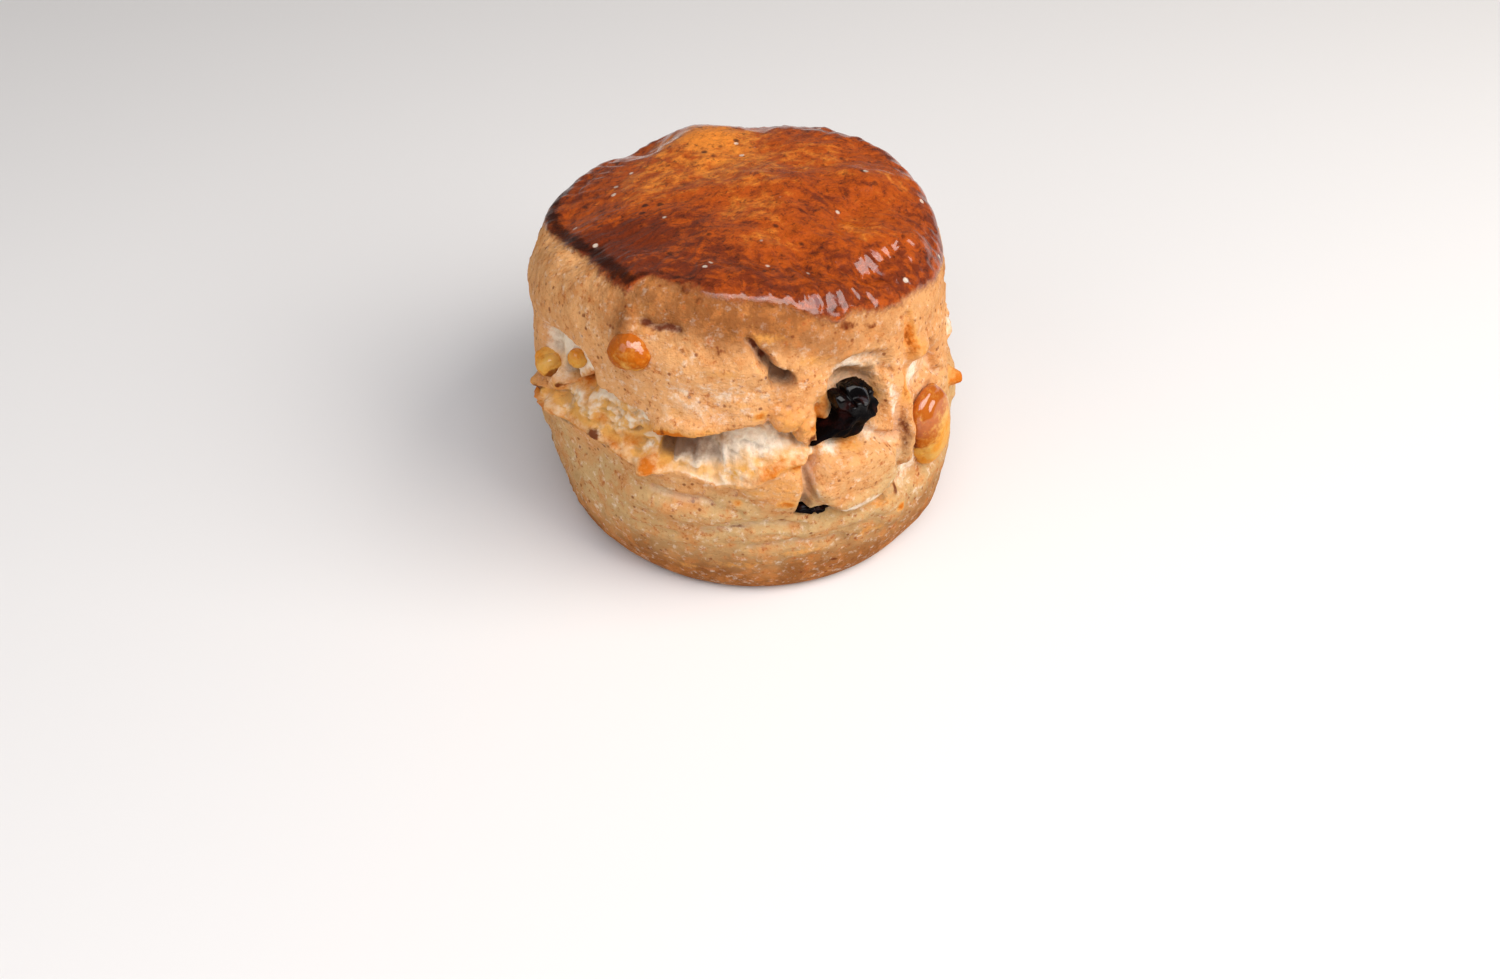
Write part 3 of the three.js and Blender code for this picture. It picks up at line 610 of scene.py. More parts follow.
# %% Knolls and dips of the top
# x, y, half width along x, half width along y, turn, rise
CROWN = [
    (-9, 20, 9, 8, 0, 3),  # highest knoll, at the back
    (-20, 15, 8, 7, 0, 1.2),
    (-17.5, 19.5, 4, 5, 20, -1.6),  # dip beside the knoll
    (4, 19, 10, 7, 0, 1.4),
    (17, 4, 5.5, 4.5, 0, 1.2),  # uneven right rim
    (14.5, -3.5, 3.5, 3, 30, -1),
    (19.5, -9, 4.5, 4, 20, 1.4),
    (14, -13, 4.5, 3.6, 30, 0.9),
    (16.5, -17.8, 2.6, 2.2, 20, -1.3),
    (9.8, -23.5, 4.6, 3.4, 10, 1.2),
    (4, -19, 5, 3, 0, -0.7),  # front rim
    (-3, -24.5, 6, 3, 0, 0.8),
    (-14, -20, 6, 4, -20, 0.7),
    (-6, -6, 9, 7, 0, -0.9),  # slack middle
    (3, 4, 9, 6, 0, 0.6),
]


def crown(x, y):
    """Sum of bell-shaped hills: rise times e to the minus squared distance in half widths."""
    return sum(rise * bell(ellipse(x - cx, y - cy, hx, hy, turn))
               for cx, cy, hx, hy, turn, rise in CROWN)


print("knolls and dips:", len(CROWN))

# %% [markdown]
# ## How the egg browned
# Egg browns by its thickness and by how near it sat to the oven's wall. On this scone a burnt band
# runs along the left part of the edge, the left third is deep brown, and the knoll and the middle
# stayed bright orange. Those places are given here, and the finish reads them as masks.

# %% Burnt edge and bright places of the egg
# degrees round, share of burnt egg at the edge
SINGED = [
    (-180, 0.4), (-130, 0.6), (-100, 1), (-31, 1), (-24, 0.75), (-14, 0.7), (-6, 0.5), (0, 0.15),
    (20, 0.2), (29, 0.5), (34, 0.2), (44, 0.45), (49, 0.55), (56, 0.2), (95, 0.45), (140, 0.3),
    (180, 0.4)]
# degrees round, half width of the burnt band
SINGED_WIDTH = [(-180, 1.6), (-100, 1.8), (-36, 1.7), (-24, 1.1), (0, 1), (60, 1.1), (180, 1.6)]
# degrees round, share of brown on the bare crust just below the egg
SEAR = [
    (-180, 0.6), (-100, 0.3), (-60, 0.15), (-42, 0.35), (-26, 0.7), (-10, 0.85), (10, 1),
    (24, 0.7), (34, 0.5), (60, 0.35), (110, 0.6), (180, 0.6)]
# x, y, half width along x, half width along y, share
LIGHT_EGG = [(-8, 17, 10, 7, 1.1), (-4, 6, 9, 8, 0.6), (1, -5, 7, 6, 0.5), (0, -14, 6, 4, 0.4),
             (9, 9, 8, 6, 0.45), (16, -9, 6, 5, 0.5), (20, 5, 5, 5, 0.4), (-19, 3, 9, 9, 0.5),
             (-21, -12, 8, 7, -0.7), (-2, -23, 9, 3, -0.15), (18, -16, 5, 4, -0.1)]


def light_egg(x, y):
    """Sum of bell-shaped patches: 0 where the egg is deep brown, 1 where it is bright."""
    return sum(share * bell(np.hypot((x - cx) / hx, (y - cy) / hy))
               for cx, cy, hx, hy, share in LIGHT_EGG)


print("brightest egg, share:", round(float(max(light_egg(x, y) for x, y, *_ in LIGHT_EGG)), 2))

# %% [markdown]
# ## Where the oven left its marks, and painted shade
# A scone is not coloured evenly: thin edges toasted orange, hidden crumb stayed cream, sugar
# burnt to small dark spots. Some dark marks also paint shade into the slit, the fold and grooves,
# the shade marks paint it into the pit, crevices and under the ledge, and one pale mark paints
# light over a shadow. The finish's noise cannot know those places, so they are listed as ovals,
# looked up at the same shifted places as the forms, and stored as masks.

# %% Marks on the wall
# round, up, half width, half height, turn, share
MARKS = {
    "toast": [
        (-46.7, 37.3, 2.4, 1.2, 15, 0.8), (-66, 30.6, 3, 1.5, 0, 0.95),
        (-55, 34.2, 2, 0.8, 20, 0.7), (-39.3, 32.2, 1.8, 0.8, 0, 0.8),
        (-29.7, 30.4, 2.4, 1, -10, 0.85), (-22.9, 28.4, 1.4, 1.1, -30, 1.2),
        (-17, 35.3, 3.4, 0.6, 0, 1.5), (-7, 36, 3, 0.5, 0, 0.6), (14.6, 36, 4.4, 2.8, -20, 0.42),
        (5.3, 38.1, 1, 0.5, 20, 1), (1, 39.8, 1.6, 0.5, 0, 0.5), (-2.3, 22.9, 0.9, 0.5, 0, 0.8),
        (9.7, 23.3, 1.6, 0.7, 0, 1), (13.4, 29.4, 2.2, 0.8, 0, 0.9), (3, 25.8, 1.6, 0.6, 10, 0.6),
        (9, 26.4, 5, 2.4, -10, 0.35), (1, 27.6, 4, 0.7, 14, 0.5), (-50, 35.6, 3, 1.3, 8, 0.9),
        (-44.6, 33.8, 1.6, 1, 0, 0.6), (-59, 31.6, 2.4, 1, 20, 0.6),
        (-35, 29.6, 2.2, 1.1, -10, 0.8), (8, 48.9, 3.4, 0.8, 0, 0.55), (-2, 44.6, 3, 0.8, 0, 0.4),
        (20, 45.4, 2.4, 0.8, 0, 0.45), (-14, 38, 2.4, 0.9, 0, 0.4), (27, 19.5, 3, 0.6, 0, 0.5),
        (33, 12.5, 3, 0.8, 0, 0.5), (-4, 10, 4, 0.8, 0, 0.4), (-22.4, 50.4, 0.6, 1.8, 0, 0.4),
        (51.6, 44, 0.8, 4, -10, 1), (48.8, 37, 0.7, 2.6, -25, 0.8),
        (22.8, 38.1, 0.9, 2.6, 0, 0.8), (19.6, 34.7, 1.9, 1.5, 0, 0.8),
        (37.9, 36.8, 0.8, 1.1, 0, 1), (54, 41.5, 1.7, 1.4, -20, 0.6),
        (42.3, 22.4, 0.5, 1.8, 10, 1), (43, 15.6, 1, 0.7, 20, 1), (36.7, 17.9, 2, 0.9, 0, 0.5),
        (79, 26, 1.9, 1.7, 0, 1.3), (28, 30.8, 2.2, 0.6, 0, 0.9), (21.4, 35.4, 1.3, 2, 10, 1),
        (25, 31.8, 1.6, 0.7, 0, 0.7), (-20, 8, 3, 0.8, 0, 0.4), (14, 12, 4, 0.7, 0, 0.4),
        (122, 44, 3, 1, 10, 0.7), (150, 28.5, 3, 1, 0, 0.7), (-160, 40, 3, 1.4, 0, 0.6),
        (-108, 22.4, 2.4, 0.8, 0, 0.7), (-88, 26, 3, 1, 0, 0.5), (-106, 18.5, 4.4, 3.6, 0, 0.5),
        (172, 37, 7, 4.2, 14, 0.5)],
    "yellow": [
        (2, 28.6, 8, 1.5, 14, 1.1), (-12, 27.5, 5, 1, 0, 0.9), (-44, 31.6, 9, 1.8, 4, 1),
        (12, 31, 3, 1.4, 0, 0.7), (-61, 36.4, 3, 2, 0, 0.8), (-33, 31.4, 4, 1.6, -8, 0.8)],
    "torn": [
        (-52.5, 38.8, 6.8, 4, -12, 0.9), (54, 38, 3, 3, 0, 0.5), (172, 34, 4, 1.4, 0, 0.6)],
    "pale": [
        (-6, 40.5, 9, 4.6, 6, 0.4), (-30, 42, 5, 2.6, 0, 0.3), (24, 26.6, 4, 2, 0, 0.25),
        (-53, 40.4, 6.5, 2.8, -12, 0.85), (-40.2, 40.6, 0.9, 2.6, 10, 0.9),
        (-37.6, 36.2, 3.2, 1.5, 0, 0.8), (-24.6, 35.9, 2.6, 1.8, 10, 0.8),
        (-30, 33.6, 3, 0.8, -8, 0.5), (17.4, 26.4, 0.4, 3, 8, 0.5),
        (23.4, 31.3, 2.2, 0.8, 0, 0.8), (34.7, 31.5, 1.6, 1.2, 20, 0.6),
        # (30.5, 43): the hollow over the raisin is pale crumb, and this mark also lightens its
        # shadow as painted light
        (30.5, 43, 3.4, 1.6, 0, 0.7), (42.2, 36.2, 0.8, 4.6, 0, 0.6),
        (53.3, 37.4, 2.4, 3, 0, 0.6), (49.5, 21.6, 2.2, 2.6, 0, 0.6),
        (24.3, 21.4, 5, 0.7, 4, 0.8), (7, 41.4, 0.7, 2.6, 30, 0.3), (3, 28.2, 5, 0.8, 8, 0.5),
        (130, 34, 4, 1.6, 0, 0.8), (172, 33, 4, 0.7, 0, 0.5), (-106, 15, 3, 0.6, 0, 0.5)],
    # burnt spots and nibs, and painted shade: the slit, the fold line and some grooves are darkened
    "dark": [
        (-63.4, 31.6, 1.2, 0.8, 0, 1), (-55.3, 34.5, 0.9, 0.4, 20, 0.9),
        (-39.7, 30.1, 1.4, 0.9, 0, 1.1), (-17, 35.7, 0.5, 0.6, 0, 0.8),
        (-39.7, 26.4, 0.7, 0.35, -30, 0.9), (-49.7, 20.5, 0.5, 0.35, 0, 0.8),
        (-20.5, 49.8, 1.5, 0.6, -10, 1), (-14, 49.5, 1.8, 0.6, 0, 1), (-17, 49.2, 1.6, 0.6, 0, 1),
        (-11.3, 46.9, 0.45, 0.35, 0, 0.8), (-2.3, 47.4, 0.35, 0.35, 0, 0.8),
        (5.3, 47.9, 0.5, 1, 35, 1.2), (7.6, 46.1, 0.5, 0.9, 40, 0.9), (42, 18.9, 0.9, 0.7, 0, 1),
        (30.7, 50, 1.6, 0.8, 0, 0.9), (38.5, 49.2, 2.2, 0.5, 0, 0.7),
        (38.3, 43.9, 0.5, 0.5, 0, 0.9), (51.3, 43.4, 0.35, 4.2, -10, 0.7),
        (48.4, 36.8, 0.35, 2.4, -25, 0.65), (45.2, 29.5, 0.4, 3.6, -4, 0.8),
        (17.6, 33.3, 1, 0.5, 0, 1), (22.7, 8.6, 0.6, 0.35, 0, 1), (-11.7, 54.6, 1.1, 0.7, 0, 0.9),
        (-7.3, 53.4, 1, 0.6, 0, 0.7), (29.5, 49.9, 1.5, 0.7, 0, 0.8), (12, 52, 1.2, 0.5, 0, 0.6),
        (-3, 17.3, 1.4, 0.35, 0, 0.8), (8.5, 18.9, 1.2, 0.4, 10, 0.8),
        (24, 50.5, 0.8, 0.4, 0, 0.7), (160, 33, 1, 0.6, 0, 0.9), (-112, 46, 0.6, 1.4, 0, 0.8),
        (140, 20, 0.8, 0.5, 0, 0.9), (-100, 31, 1.2, 0.6, 0, 0.9)],
    # painted shade: darker colour in the pit, the pocket's hole, under the ledge and in crevices
    "shade": [
        (11.9, 43.2, 2.2, 1.8, -20, 1.1), (8.6, 45.6, 1.6, 0.9, -46, 0.9),
        (-55, 37.6, 1.3, 1.5, 0, 1.4), (-33, 27.2, 6, 0.8, -8, 0.8), (24, 37, 0.8, 3, 8, 0.5),
        (-50, 28.2, 8, 0.7, 8, 0.6), (16.4, 26, 0.7, 3.6, 8, 0.75),
        (14.6, 22.6, 1.2, 1.4, 20, 0.7), (21, 21.2, 5, 0.5, 0, 0.5), (37.5, 40.8, 1, 2, 0, 0.6),
        (16.2, 29, 0.7, 1.2, 0, 0.5), (24.5, 31.2, 1.6, 0.6, 0, 0.4),
        (45.2, 29, 0.9, 5, -4, 0.6)],
}
MARK_SOFTNESS = 0.8
# strings of crumb that still bridge the main tear: round, up, half width, half height, push
STRANDS = [(-17, 30, 0.4, 1.6, 1.4), (-11.4, 29.6, 0.7, 1.6, 1), (-4.5, 30.6, 0.4, 1.4, 1)]
STRAND_SOFTNESS = 0.6
# the rough fragment beside the raisin: round, up, half width, half height, turn, softness
CRAG = (13.6, 36.4, 4, 3, -20, 0.4)
print("marks:", {key: len(rows) for key, rows in MARKS.items()})


# %% [markdown]
# ## Relief
# All forms are added up as one push along the normal. The edges of tears and hollows would look
# cut with a knife, so each form is looked up at a place shifted by small lumps, which makes its
# edge ragged. The finest crumbs, flakes and wrinkles are added here and nowhere else.

# %% The lumps of the skin
# rise in mm, size in mm, octaves, seed, share that each finer octave keeps
LUMPS = {
    "body": (0.85, 15, 2, 3, 0.5),
    "wall": (0.3, 5, 2, 7, 0.5),
    "top": (0.35, 6, 2, 41, 0.5),
    "tatter": (1, 6, 3, 101, 0.6),
    "crags": (2, 2.8, 4, 51, 0.62),
    "layers": (1.3, 6, 2, 91, 0.5),
    "slabs": (1, 4.6, 2, 93, 0.5),
    "small_slabs": (1, 2.6, 2, 95, 0.5),
    "flakes": (1, 3.2, 3, 61, 0.6),
    "pimples": (0.12, 1.5, 3, 67, 0.65),
    "slack": (2, 9, 1, 73, 0.5),
    "egg": (1, 3.4, 4, 81, 0.55),
    "ridges": (2, 1.9, 2, 97, 0.5),
}
# how far the edges of the forms wander in mm, the size of those lumps and their seeds
RAGGED = 0.8
RAGGED_SIZE = 4.6
RAGGED_SEEDS = (11, 29)
# ovals pushed in deeper than this many mm show torn crumb, with this share
HOLLOW_FROM = -1
HOLLOW_SHARE = 0.42
# mm over which the glaze's step rises, and over which it thins out again towards the middle
GLAZE_STEP = 1.6
GLAZE_FADE = 6
# mm: height of a terrace of torn crumb, rise of a flake, a low wrinkle and a crease in the egg
LAYER_HEIGHT = 1.5
FLAKE_RISE = 0.12
SAG_RISE = 0.4
CREASE_RISE = 0.2


def lumpy(place, name):
    """One kind of lumps of the skin, by its row in the table."""
    rise, *kind = LUMPS[name]
    return rise * lumps(place, *kind)


# %% Torn crumb, flakes and wrinkles
def crumbs(azimuth, up, place, push):
    """Crags, terraces and slabs of torn crumb; in the main tear, strands that run up instead."""
    crags = 1 - np.abs(lumpy(place, "crags"))
    layer = up / LAYER_HEIGHT + lumpy(place, "layers")
    terrace = smooth((layer - np.floor(layer)) / 0.8) - 0.5
    strands = noise(np.stack([azimuth * ARC / 0.9, up / 3.6, push * 0.3]), 57)
    mouth = smooth((azimuth + 24) / 4) * smooth((20 - azimuth) / 4)
    slabs = smooth(lumpy(place, "slabs") / 0.3 + 0.5)
    slabs = slabs + 0.7 * smooth(lumpy(place, "small_slabs") / 0.3 + 0.2)
    rough = 0.8 * slabs - 0.7 + 0.4 * terrace
    return 0.6 * crags - 0.35 + (1 - mouth) * rough + mouth * (0.2 * strands + 0.2 * terrace)


def wrinkles(azimuth, up, place):
    """Level wrinkles where the low wall sagged: noise that is long round and short upwards."""
    sag = lumps(np.stack([azimuth * ARC / 8, up / 1.2, 0 * up]), 1, 2, 71)
    low = smooth((up - 6) / 5) * smooth((27 - up) / 4) * smooth(lumpy(place, "slack") + 0.6)
    return SAG_RISE * low * sag


def egg_skin(azimuth, up, place, over):
    """Bumps in the glaze, highest on its front right, and creases that run up behind its edge."""
    glazed = smooth(over / 2)
    rim = glazed * bell((over - 6) / 7) * (0.6 + 0.8 * bell(wrap(azimuth - 32) / 34))
    creases = noise(np.stack([azimuth * ARC / 1.1, up / 5, 0 * up]), 83)
    height = 0.34 + 0.5 * bell(np.hypot(place[0] - 14, place[1] + 14) / 10)
    return glazed * height * lumpy(place, "egg") + CREASE_RISE * rim * creases


# %% The push along the normal
def relief(azimuth, up, place, fine):
    """Push in mm and masks. Coarse forms first; where fine is true, crumbs in the torn parts,
    flakes on the skin, sagging wrinkles low down and small bumps in the glaze are added."""
    octaves = 5 if fine else 3
    shift = np.stack([RAGGED * lumps(place, RAGGED_SIZE, octaves, s, 0.6) for s in RAGGED_SEEDS])
    a, u = azimuth + shift[0] / ARC, up + shift[1]
    tatter = lumpy(place, "tatter")
    skin = smooth((up - 1) / 7)
    push = skin * (lumpy(place, "body") + lumpy(place, "wall"))
    torn, toast, painted_shadow, hang, yellow, hollow = (np.zeros_like(push) for _ in range(6))
    for one in TEARS:
        out, inside, browned, tear_shadow, hung = tear(one, a, u, tatter)
        push, hang, yellow = push + out, hang + hung, yellow + one["yellow"] * inside
        torn, toast = np.maximum(torn, inside), np.maximum(toast, browned)
        painted_shadow = np.maximum(painted_shadow, tear_shadow)
    for turned, high, half, tall, turn, out, soft in OVALS:
        share = oval(wrap(a - turned) * ARC, u - high, half, tall, turn, soft)
        push = push + out * share
        if out < HOLLOW_FROM:
            hollow = np.maximum(hollow, HOLLOW_SHARE * share)
    for half, deep, course in GROOVES:
        push = push - deep * groove(half, course, a, u)
    over = up + 1.2 * shift[1] - through(a, GLAZE_EDGE)
    step = smooth(over / GLAZE_STEP + 0.5) * np.exp(-np.maximum(over, 0) / GLAZE_FADE)
    top = smooth((up - 48) / 8)
    push = push + GLAZE_THICKNESS * step + top * (crown(place[0], place[1]) + lumpy(place, "top"))
    masks = {"torn": torn, "toast": toast, "over": over}
    if fine:
        wall = skin * (1 - smooth(over / 2 + 0.5))
        crumbly = (torn + 0.5 * hollow * (1 - torn)) * wall
        push = push + crumbly * crumbs(azimuth, up, place, push)
        flakes = FLAKE_RISE * smooth((lumpy(place, "flakes") - 0.1) / 0.06)
        push = push + wall * (1 - torn) * (flakes + lumpy(place, "pimples"))
        push = push + wrinkles(azimuth, up, place) + egg_skin(azimuth, up, place, over)
        masks["singed"] = through(a, SINGED) * bell((over - 1.6) / through(a, SINGED_WIDTH))
        masks["light"] = light_egg(place[0], place[1])
        masks["hang"] = hang
        masks["torn"] = np.maximum(torn, hollow)
        # shade: painted shade in the tears' hollows; the shade marks are added to it below
        masks["yellow"], masks["shade"] = np.maximum(yellow, hollow), painted_shadow
        masks["sear"] = through(a, SEAR) * smooth((over + 10.5) / 7)
        for key, marks in MARKS.items():
            painted = [share * oval(wrap(a - turned) * ARC, u - high, *shape, MARK_SOFTNESS)
                       for turned, high, *shape, share in marks]
            masks[key] = np.maximum(masks.get(key, 0.0), np.max(painted, axis=0))
        for turned, high, half, tall, out in STRANDS:
            string = oval((azimuth - turned) * ARC, up - high, half, tall, 0, STRAND_SOFTNESS)
            push = push + out * string
        crag = oval(wrap(azimuth - CRAG[0]) * ARC, up - CRAG[1], *CRAG[2:])
        ridges = np.abs(lumpy(place, "ridges"))
        push = push + crag * (0.4 - 1.4 * ridges)
        masks["crag"] = crag * (0.35 + smooth(1 - ridges * 4))
    return push, masks


# %% Points of the skin
SLOPE_STEP = 0.25


def skin_at(azimuth, along, fine=False):
    """Points of the finished skin, their outward directions and the masks. The outward direction
    is square to the plain outline at that azimuth, and hanging edges slide down along it."""
    before = np.clip(along - SLOPE_STEP, 0, LENGTH)
    after = np.clip(along + SLOPE_STEP, 0, LENGTH)
    dr = np.interp(after, ALONG, OUTLINE_RADIUS) - np.interp(before, ALONG, OUTLINE_RADIUS)
    dz = plain(azimuth, after)[2] - plain(azimuth, before)[2]
    size = np.maximum(np.hypot(dr, dz), 1e-6)
    angle = np.radians(azimuth)
    outward = np.stack([np.sin(angle) * dz / size, -np.cos(angle) * dz / size, -dr / size])
    place = plain(azimuth, along)
    push, masks = relief(azimuth, along - FOOT_RADIUS, place, fine)
    masks["push"] = push
    down = -np.stack([np.sin(angle) * dr / size, -np.cos(angle) * dr / size, dz / size])
    return place + outward * push + down * masks.pop("hang", 0.0), outward, masks


# %% [markdown]
# ## From rings of points to a closed mesh
# Every piece of this object is a stack of rings with a point at each end. One function makes the
# faces for all of them, counted so that they point outwards, and stores the masks that the
# finishes read.

# %% Mesh maker
def ring_mesh(name, start, rings, finish, masks):
    """A mesh from an array of rings (3, columns, rows), closed by one point at either end."""
    columns, rows = rings.shape[1:]
    body = rings.transpose(2, 1, 0).reshape(-1, 3)
    points = np.concatenate([start[None], body, finish[None]]) / 1000
    c = np.arange(columns)
    after = (c + 1) % columns
    first = np.stack([np.zeros_like(c), 1 + after, 1 + c], 1)
    row = 1 + np.arange(rows - 1)[:, None] * columns
    corners = [row + c, row + after, row + columns + after, row + columns + c]
    quads = np.stack(corners, -1).reshape(-1, 4)
    end = 1 + (rows - 1) * columns
    last = np.stack([np.full_like(c, len(points) - 1), end + c, end + after], 1)
    mesh = bpy.data.meshes.new(name)
    mesh.from_pydata(points, [], first.tolist() + quads.tolist() + last.tolist())
    for key, values in masks.items():
        stored = mesh.attributes.new(key, "FLOAT", "POINT")
        column = values.transpose(1, 0).reshape(-1)
        column = np.concatenate([column[:1], column, column[-1:]])
        stored.data.foreach_set("value", column.astype(np.float32))
    mesh.polygons.foreach_set("use_smooth", np.ones(len(mesh.polygons), bool))
    mesh.update()
    piece = bpy.data.objects.new(name, mesh)
    bpy.context.scene.collection.objects.link(piece)
    print(name, "faces:", len(mesh.polygons))
    return piece


def dress(piece, node, material):
    """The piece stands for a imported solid, rides with the scone and takes its finish."""
    piece.data.materials.append(material)
    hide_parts(node)
    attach(piece, "root")


# %% [markdown]
# ## The dough's skin
# The skin is worked out on a fine grid: columns round the scone, rows from the foot's middle to
# the top's. A blurred copy of the push shows which spots stand proud of their neighbours. Those
# brown first in an oven, and the ones that lie low stay pale, so that is kept as a mask too. A
# wider blurred copy shows the spots that lie deep, where the finish paints shade.

# %% The dough
COLUMNS = 480
FRONT_SHARE = 0.35
FOOT_ROWS = 6
SKIN_ROWS = 197
# share of the rows, mm up the outline: closer rows where the wall is torn
ROW_PLACES = [(0, 0), (0.1, 12), (0.8, 58), (1, LENGTH - FOOT_RADIUS)]
# grid steps to the neighbours, and the difference in mm that counts as fully proud or deep
PROUD_REACH, PROUD_FULL = 6, 0.9
DEEP_REACH, DEEP_FULL = 14, 3
OVER_FULL = 20


def blurred(values, reach):
    """Mean over a square window of the grid, closed round the scone and held at the ends."""
    for axis, mode in ((0, "wrap"), (1, "edge")):
        pad = [(0, 0), (0, 0)]
        pad[axis] = (reach, reach)
        total = np.cumsum(np.pad(values, pad, mode=mode), axis=axis)
        total = np.insert(total, 0, 0, axis=axis)
        count = 2 * reach + 1
        upper = np.take(total, range(count, total.shape[axis]), axis=axis)
        lower = np.take(total, range(0, total.shape[axis] - count), axis=axis)
        values = (upper - lower) / count
    return values


def make_dough():
    """The skin on a grid of azimuth and length along the outline, with its masks. Columns stand
    closer in front, by azimuth = t - share * sin(t)."""
    even = np.linspace(-180, 180, COLUMNS, endpoint=False)
    azimuth = even - np.degrees(FRONT_SHARE * np.sin(np.radians(even)))
    foot = np.linspace(0, FOOT_RADIUS, FOOT_ROWS, endpoint=False)[1:]
    side = FOOT_RADIUS + through(np.linspace(0, 1, SKIN_ROWS, endpoint=False), ROW_PLACES)
    a, s = np.meshgrid(azimuth, np.concatenate([foot, side]), indexing="ij")
    points, _, masks = skin_at(a, s, fine=True)
    push = masks["push"]
    masks["proud"] = np.clip((push - blurred(push, PROUD_REACH)) / PROUD_FULL, -1, 1)
    # deep: how far a spot lies below its wider surroundings, darkened in the finish as painted shade
    masks["deep"] = np.clip((blurred(push, DEEP_REACH) - push) / DEEP_FULL, 0, 1)
    masks["over"] = np.clip(masks["over"] / OVER_FULL, -1, 1)
    del masks["push"]
    end = skin_at(np.zeros((1, 1)), np.full((1, 1), LENGTH), fine=True)[0][:, 0, 0]
    return ring_mesh("dough", np.zeros(3), points, end, masks)


dough = make_dough()

# %% [markdown]
# ## Finish of the dough
# Three finishes share one skin. Bare crust is dry and tan, darker under the glaze, pale low down
# and golden at the heel. Torn crumb is cream and rough. The egg glaze is a deep orange brown
# under a clear coat, burnt where it is thin at its edge. Shade is painted in as darker colour in
# low and deep crumb, under the tears' upper edges, in the pit, the slit and some grooves. Masks
# from the mesh say which is where, and noise breaks every border.

# %% Colours of the dough
CRUST = tint(226, 165, 107)
CRUST_WARM = tint(204, 130, 68)
CRUST_PALE = tint(203, 164, 112)
CRUST_HEEL = tint(146, 90, 44)
CRUST_SHADE = tint(136, 78, 36)
CRUMB = tint(250, 236, 214)
CRUMB_YELLOW = tint(230, 168, 82)
CRUMB_GREY = tint(214, 186, 152)
# crumb darkened as painted shade: in low and deep spots and under the shade masks
CRUMB_IN_PAINTED_SHADE = tint(118, 84, 60)
# dark marks: burnt spots, and painted shade in the slit, the fold and some grooves
DARK_SPOT_AND_SHADE = tint(100, 36, 12)
GOLDEN = tint(226, 158, 80)
TOASTED = tint(202, 108, 24)
SPECK = tint(118, 52, 26)
FRECKLE = tint(168, 84, 40)
EGG_THIN = tint(160, 88, 42)
EGG_ORANGE = tint(178, 76, 10)
EGG_BRIGHT = tint(232, 134, 44)
EGG_BROWN = tint(118, 44, 12)
EGG_BURNT = tint(44, 15, 6)


# %% Crust, crumb and egg
# ruffle and drift are the fine and the coarse noise about zero: added to a mask, they break up
# its border
def crust_colour(f, sear, patch, fine):
    """Dry skin: brown heel, pale low wall, tan above, seared just under the egg."""
    drift, ruffle = patch - 0.5, fine - 0.5
    wander = f.node("ShaderNodeSeparateXYZ", {}, {0: f.place}, out="Z") + drift * 14
    seared = f.rise(sear + drift * 0.5 + ruffle * 0.4, 0.1, 0.95)
    specks = f.rise(f.cells(1.4) + ruffle * 0.3, 0.26, 0.1) * f.rise(f.cloud(3.1, 1), 0.44, 0.6)
    floury = f.rise(f.cloud(1.3, 5, 0.7), 0.53, 0.7) * (0.42 - sear * 0.3)
    return f.coats(
        CRUST_HEEL,
        (CRUST_PALE, f.rise(wander, 4, 17)),
        (CRUST, f.rise(wander, 20, 30)),
        (CRUST_WARM, f.rise(patch + fine * 0.3, 0.62, 0.86) * 0.5),
        (CRUST_SHADE, seared * 0.95),
        (CRUST_WARM, f.rise(f.cloud(2.4, 5, 0.7), 0.46, 0.66) * 0.6),
        (CRUMB, floury),
        (FRECKLE, f.rise(f.cloud(1.2, 5, 0.72), 0.56, 0.68) * 0.6),
        (SPECK, specks * 0.75),
        (CRUST_SHADE, f.rise(f.cloud(0.6, 4, 0.7), 0.54, 0.72) * 0.35))


def crumb_colour(f, yellow):
    """Torn crumb: cream with yellow and greyish clouds, yellowest in the ledge."""
    return f.coats(
        CRUMB,
        (CRUMB_YELLOW, f.rise(f.cloud(3.6, 3, 0.6), 0.44, 0.68) * 0.55),
        (CRUMB_GREY, f.rise(f.cloud(2.1, 4, 0.65), 0.5, 0.68) * 0.6),
        (CRUMB_YELLOW, yellow * f.rise(f.cloud(2.6, 4, 0.65), 0.24, 0.56) * 0.95))


def egg_colour(f, browning, over, singed, burnt, ruffle):
    """Egg glaze: brown to bright orange by the browning, with dark veins and spots, pale sugar
    flecks, a thin lighter border and a burnt edge."""
    spots = f.rise(f.cells(3.2), 0.22, 0.1) * f.rise(f.cloud(5, 2), 0.48, 0.6)
    egg = f.coats(
        EGG_BROWN,
        (EGG_ORANGE, f.rise(browning, -0.2, 0.35)),
        (EGG_BRIGHT, f.rise(browning, 0.35, 1.15)),
        (EGG_BURNT, f.rise(f.cloud(1, 5, 0.75, None, 0.6), 0.47, 0.36) * 0.55),
        (EGG_BURNT, spots * 0.8),
        (CRUMB, f.rise(f.cells(4.7), 0.11, 0.06) * 0.6))
    border = f.rise(over + singed * 0.15 + ruffle * 0.1, -0.03, 0.08)
    return f.coats(EGG_THIN, (egg, border), (EGG_BURNT, burnt * 0.9))


